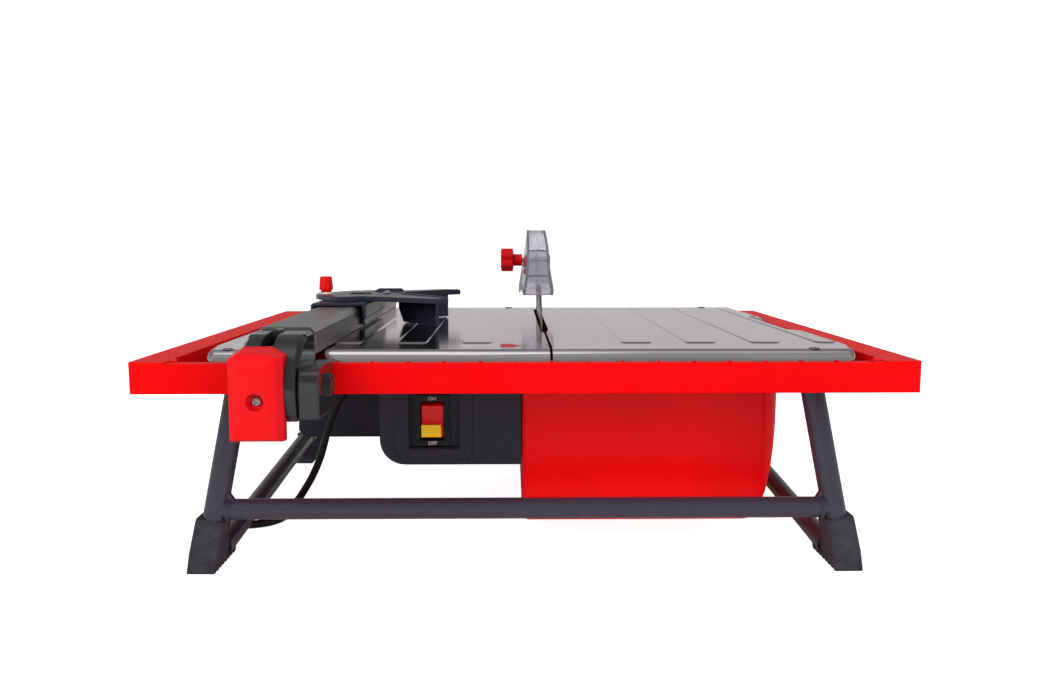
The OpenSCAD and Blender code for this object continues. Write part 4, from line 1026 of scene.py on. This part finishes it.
def makeWords():
    w = wordSizes
    whole = bmesh.new()
    for word, x, z in w["words"]:
        text = bpy.data.curves.new(word, "FONT")
        text.body = word
        text.size = w["letter"] / 1000 * w["overCapital"]
        text.extrude = w["thick"] / 2000
        text.offset = w["bold"]
        text.align_x = "CENTER"
        text.align_y = "CENTER"
        obj = bpy.data.objects.new(word, text)
        bpy.context.collection.objects.link(obj)
        flat = settle(obj)
        centre = at(x, w["front"], z)
        for v in flat.data.vertices:
            a, b, c = v.co
            v.co = centre + Vector((a, -c - w["thick"] / 2000, b))
        whole.from_mesh(flat.data)
        bpy.data.objects.remove(flat)
    bmesh.ops.remove_doubles(whole, verts=whole.verts, dist=0.000001)
    bmesh.ops.recalc_face_normals(whole, faces=whole.faces)
    wear(addPiece("switchWords", whole, False), "wordWhite", "base", "pale_washer")


def makeArrow():
    mesh = bmesh.new()
    low = sheetSizes["surface"] + arrowGap
    prism(mesh, [at(x, y, low) for x, y in arrowOutline],
          [at(x, y, low + arrowThick) for x, y in arrowOutline])
    bmesh.ops.recalc_face_normals(mesh, faces=mesh.faces)
    wear(addPiece("tableArrow", mesh, False), "arrowRed", "base", "red_plastic")


makeWords()
makeArrow()
print("words and arrow made")


cordSizes = {"diameter": 7, "length": 1.8, "coilRadius": 36, "coilCentre": (139.4, 552), "sides": 16}


def cordLow():
    # the height of the cord's middle where it lies on the ground
    return -place["railTop"] + cordSizes["diameter"] / 2


def arcOnGround(centre, radius, start, stop, steps):
    z = cordLow()
    turns = [math.radians(start + (stop - start) * i / steps) for i in range(steps + 1)]
    return [(centre[0] + radius * math.cos(a), centre[1] + radius * math.sin(a), z) for a in turns]


def cordRoute():
    # down from the housing, a loop beside the left leg, then along the ground to the back
    low = cordLow()
    drop = [(-148, 238, -45), (-154, 238, -46.5), (-161, 238, -50.5), (-168, 238, -57),
            (-174.5, 238, -66), (-180, 238, -77), (-184.5, 238, -89), (-188.5, 237.5, -102),
            (-192, 236.5, -115), (-196, 233, -127.5), (-200.5, 226, -138.5), (-205, 216, -147.5),
            (-209, 204, -154.2), (-212.2, 191, -158.8), (-214.2, 177, -161.1)]
    loop = arcOnGround((-243.5, 177), 29, -12, -270, 18)
    run = [(x, 206, low) for x in range(-226, 40, 22)]
    turn = arcOnGround((50, 256), 50, -80, 0, 6)
    back = [(100, y, low) for y in range(276, 530, 23)]
    return drop + loop + run + turn + back


def coilTurns():
    # outer and inner turns on the ground, then the same two on top of them
    d = cordSizes["diameter"] - 0.2
    low = cordLow()
    x, y = cordSizes["coilCentre"]
    turns = [(0.5, 0), (-0.5, 0), (-0.5, 1), (0.5, 1)]
    parts = 24
    points = []
    for i, (side, level) in enumerate(turns):
        after = turns[min(i + 1, len(turns) - 1)]
        for k in range(parts):
            t = max(0, k / parts - 0.75) * 4
            t = t * t * (3 - 2 * t)
            r = cordSizes["coilRadius"] + d * (side + (after[0] - side) * t)
            z = low + d * (level + (after[1] - level) * t)
            a = math.pi - 2 * math.pi * k / parts
            points.append((x + r * math.cos(a), y + r * math.sin(a), z))
    return points


def makeCord():
    path = [at(*p) for p in smoothLine(cordRoute() + coilTurns(), 4)]
    piece = tubeMesh("mainsCord", path, cordSizes["diameter"] / 2000, cordSizes["sides"])
    total = sum((b - a).length for a, b in zip(path, path[1:]))
    print("cord length", round(total, 3))
    wear(piece, "cordRubber", "base", "cord_rubber", "power_cord", "cord_coil")
    at(-148, 238, -45)


makeCord()


# two softboxes in front of the saw, and weaker ones behind and above
lights = [
    {"spot": (-1.4, -1.8, 1.1), "size": 1.5, "watts": 35, "mirrored": False},
    {"spot": (1.4, -1.8, 1.0), "size": 1.5, "watts": 29, "mirrored": False},
    {"spot": (0.3, 1.9, 1.6), "size": 1.2, "watts": 14, "mirrored": False},
    {"spot": (-0.3, -0.5, 2.1), "size": 1.0, "watts": 2},
]
aim = (0, 0, 0.15)
# the band and the front are darker than the horizon by these amounts, and seen is what the camera sees
studio = {"horizon": 0.6, "band": 0.36, "bandLow": (0.16, 0.3), "bandHigh": (0.88, 0.97),
          "behind": (-0.6, -0.2), "front": 0.32, "ahead": (-0.9, -0.2), "seen": 1.05}
floorSizes = {"half": 14, "drop": 0.0002, "glow": 0.9}


def makeFloor():
    mesh = bmesh.new()
    bmesh.ops.create_grid(mesh, x_segments=1, y_segments=1, size=floorSizes["half"])
    piece = addPiece("floor", mesh, False)
    f = Finish("floorWhite")
    seen = f.node("LightPath")
    f.set(Base_Color=(0.82, 0.82, 0.82), Roughness=0.9, Specular_IOR_Level=0.1,
          Emission_Color=(1, 1, 1), Emission_Strength=seen * floorSizes["glow"])
    piece.data.materials.append(f.material)
    piece.location = (0, 0, -floorSizes["drop"])


def makeWorld():
    # an even horizon, a dark band above it at the back, a paler ceiling, and white where it is seen
    world = bpy.data.worlds.new("studio")
    world.use_nodes = True
    bpy.context.scene.world = world
    w = Web(world.node_tree)
    split = w.tree.nodes.new("ShaderNodeSeparateXYZ")
    w.tree.links.new(w.node("TexCoord", None, out=0).out, split.inputs[0])
    y = Value(w, split.outputs[1])
    z = Value(w, split.outputs[2])
    band = w.node("MapRange", None, z, *studio["bandLow"], 0.0, 1.0)
    band = band * w.node("MapRange", None, z, *studio["bandHigh"], 1.0, 0.0)
    behind = w.node("MapRange", None, y, *studio["behind"], 0.0, 1.0)
    front = w.node("MapRange", None, y, *studio["ahead"], studio["front"], 0.0)
    light = studio["horizon"] - band * behind * studio["band"] - front
    seen = w.node("LightPath")
    back = world.node_tree.nodes["Background"]
    back.inputs[0].default_value = (1, 1, 1, 1)
    w.join(back.inputs[1], light * (1 - seen) + studio["seen"] * seen)


def makeLights():
    for i, light in enumerate(lights):
        data = bpy.data.lights.new("softbox%d" % i, "AREA")
        data.shape = "SQUARE"
        data.size = light["size"]
        data.energy = light["watts"]
        obj = bpy.data.objects.new("softbox%d" % i, data)
        obj.location = light["spot"]
        obj.rotation_euler = (Vector(aim) - obj.location).to_track_quat("-Z", "Y").to_euler()
        obj.visible_glossy = light.get("mirrored", True)
        bpy.context.collection.objects.link(obj)
    bpy.context.scene.view_settings.view_transform = "Standard"


makeFloor()
makeWorld()
makeLights()
print("stage made")
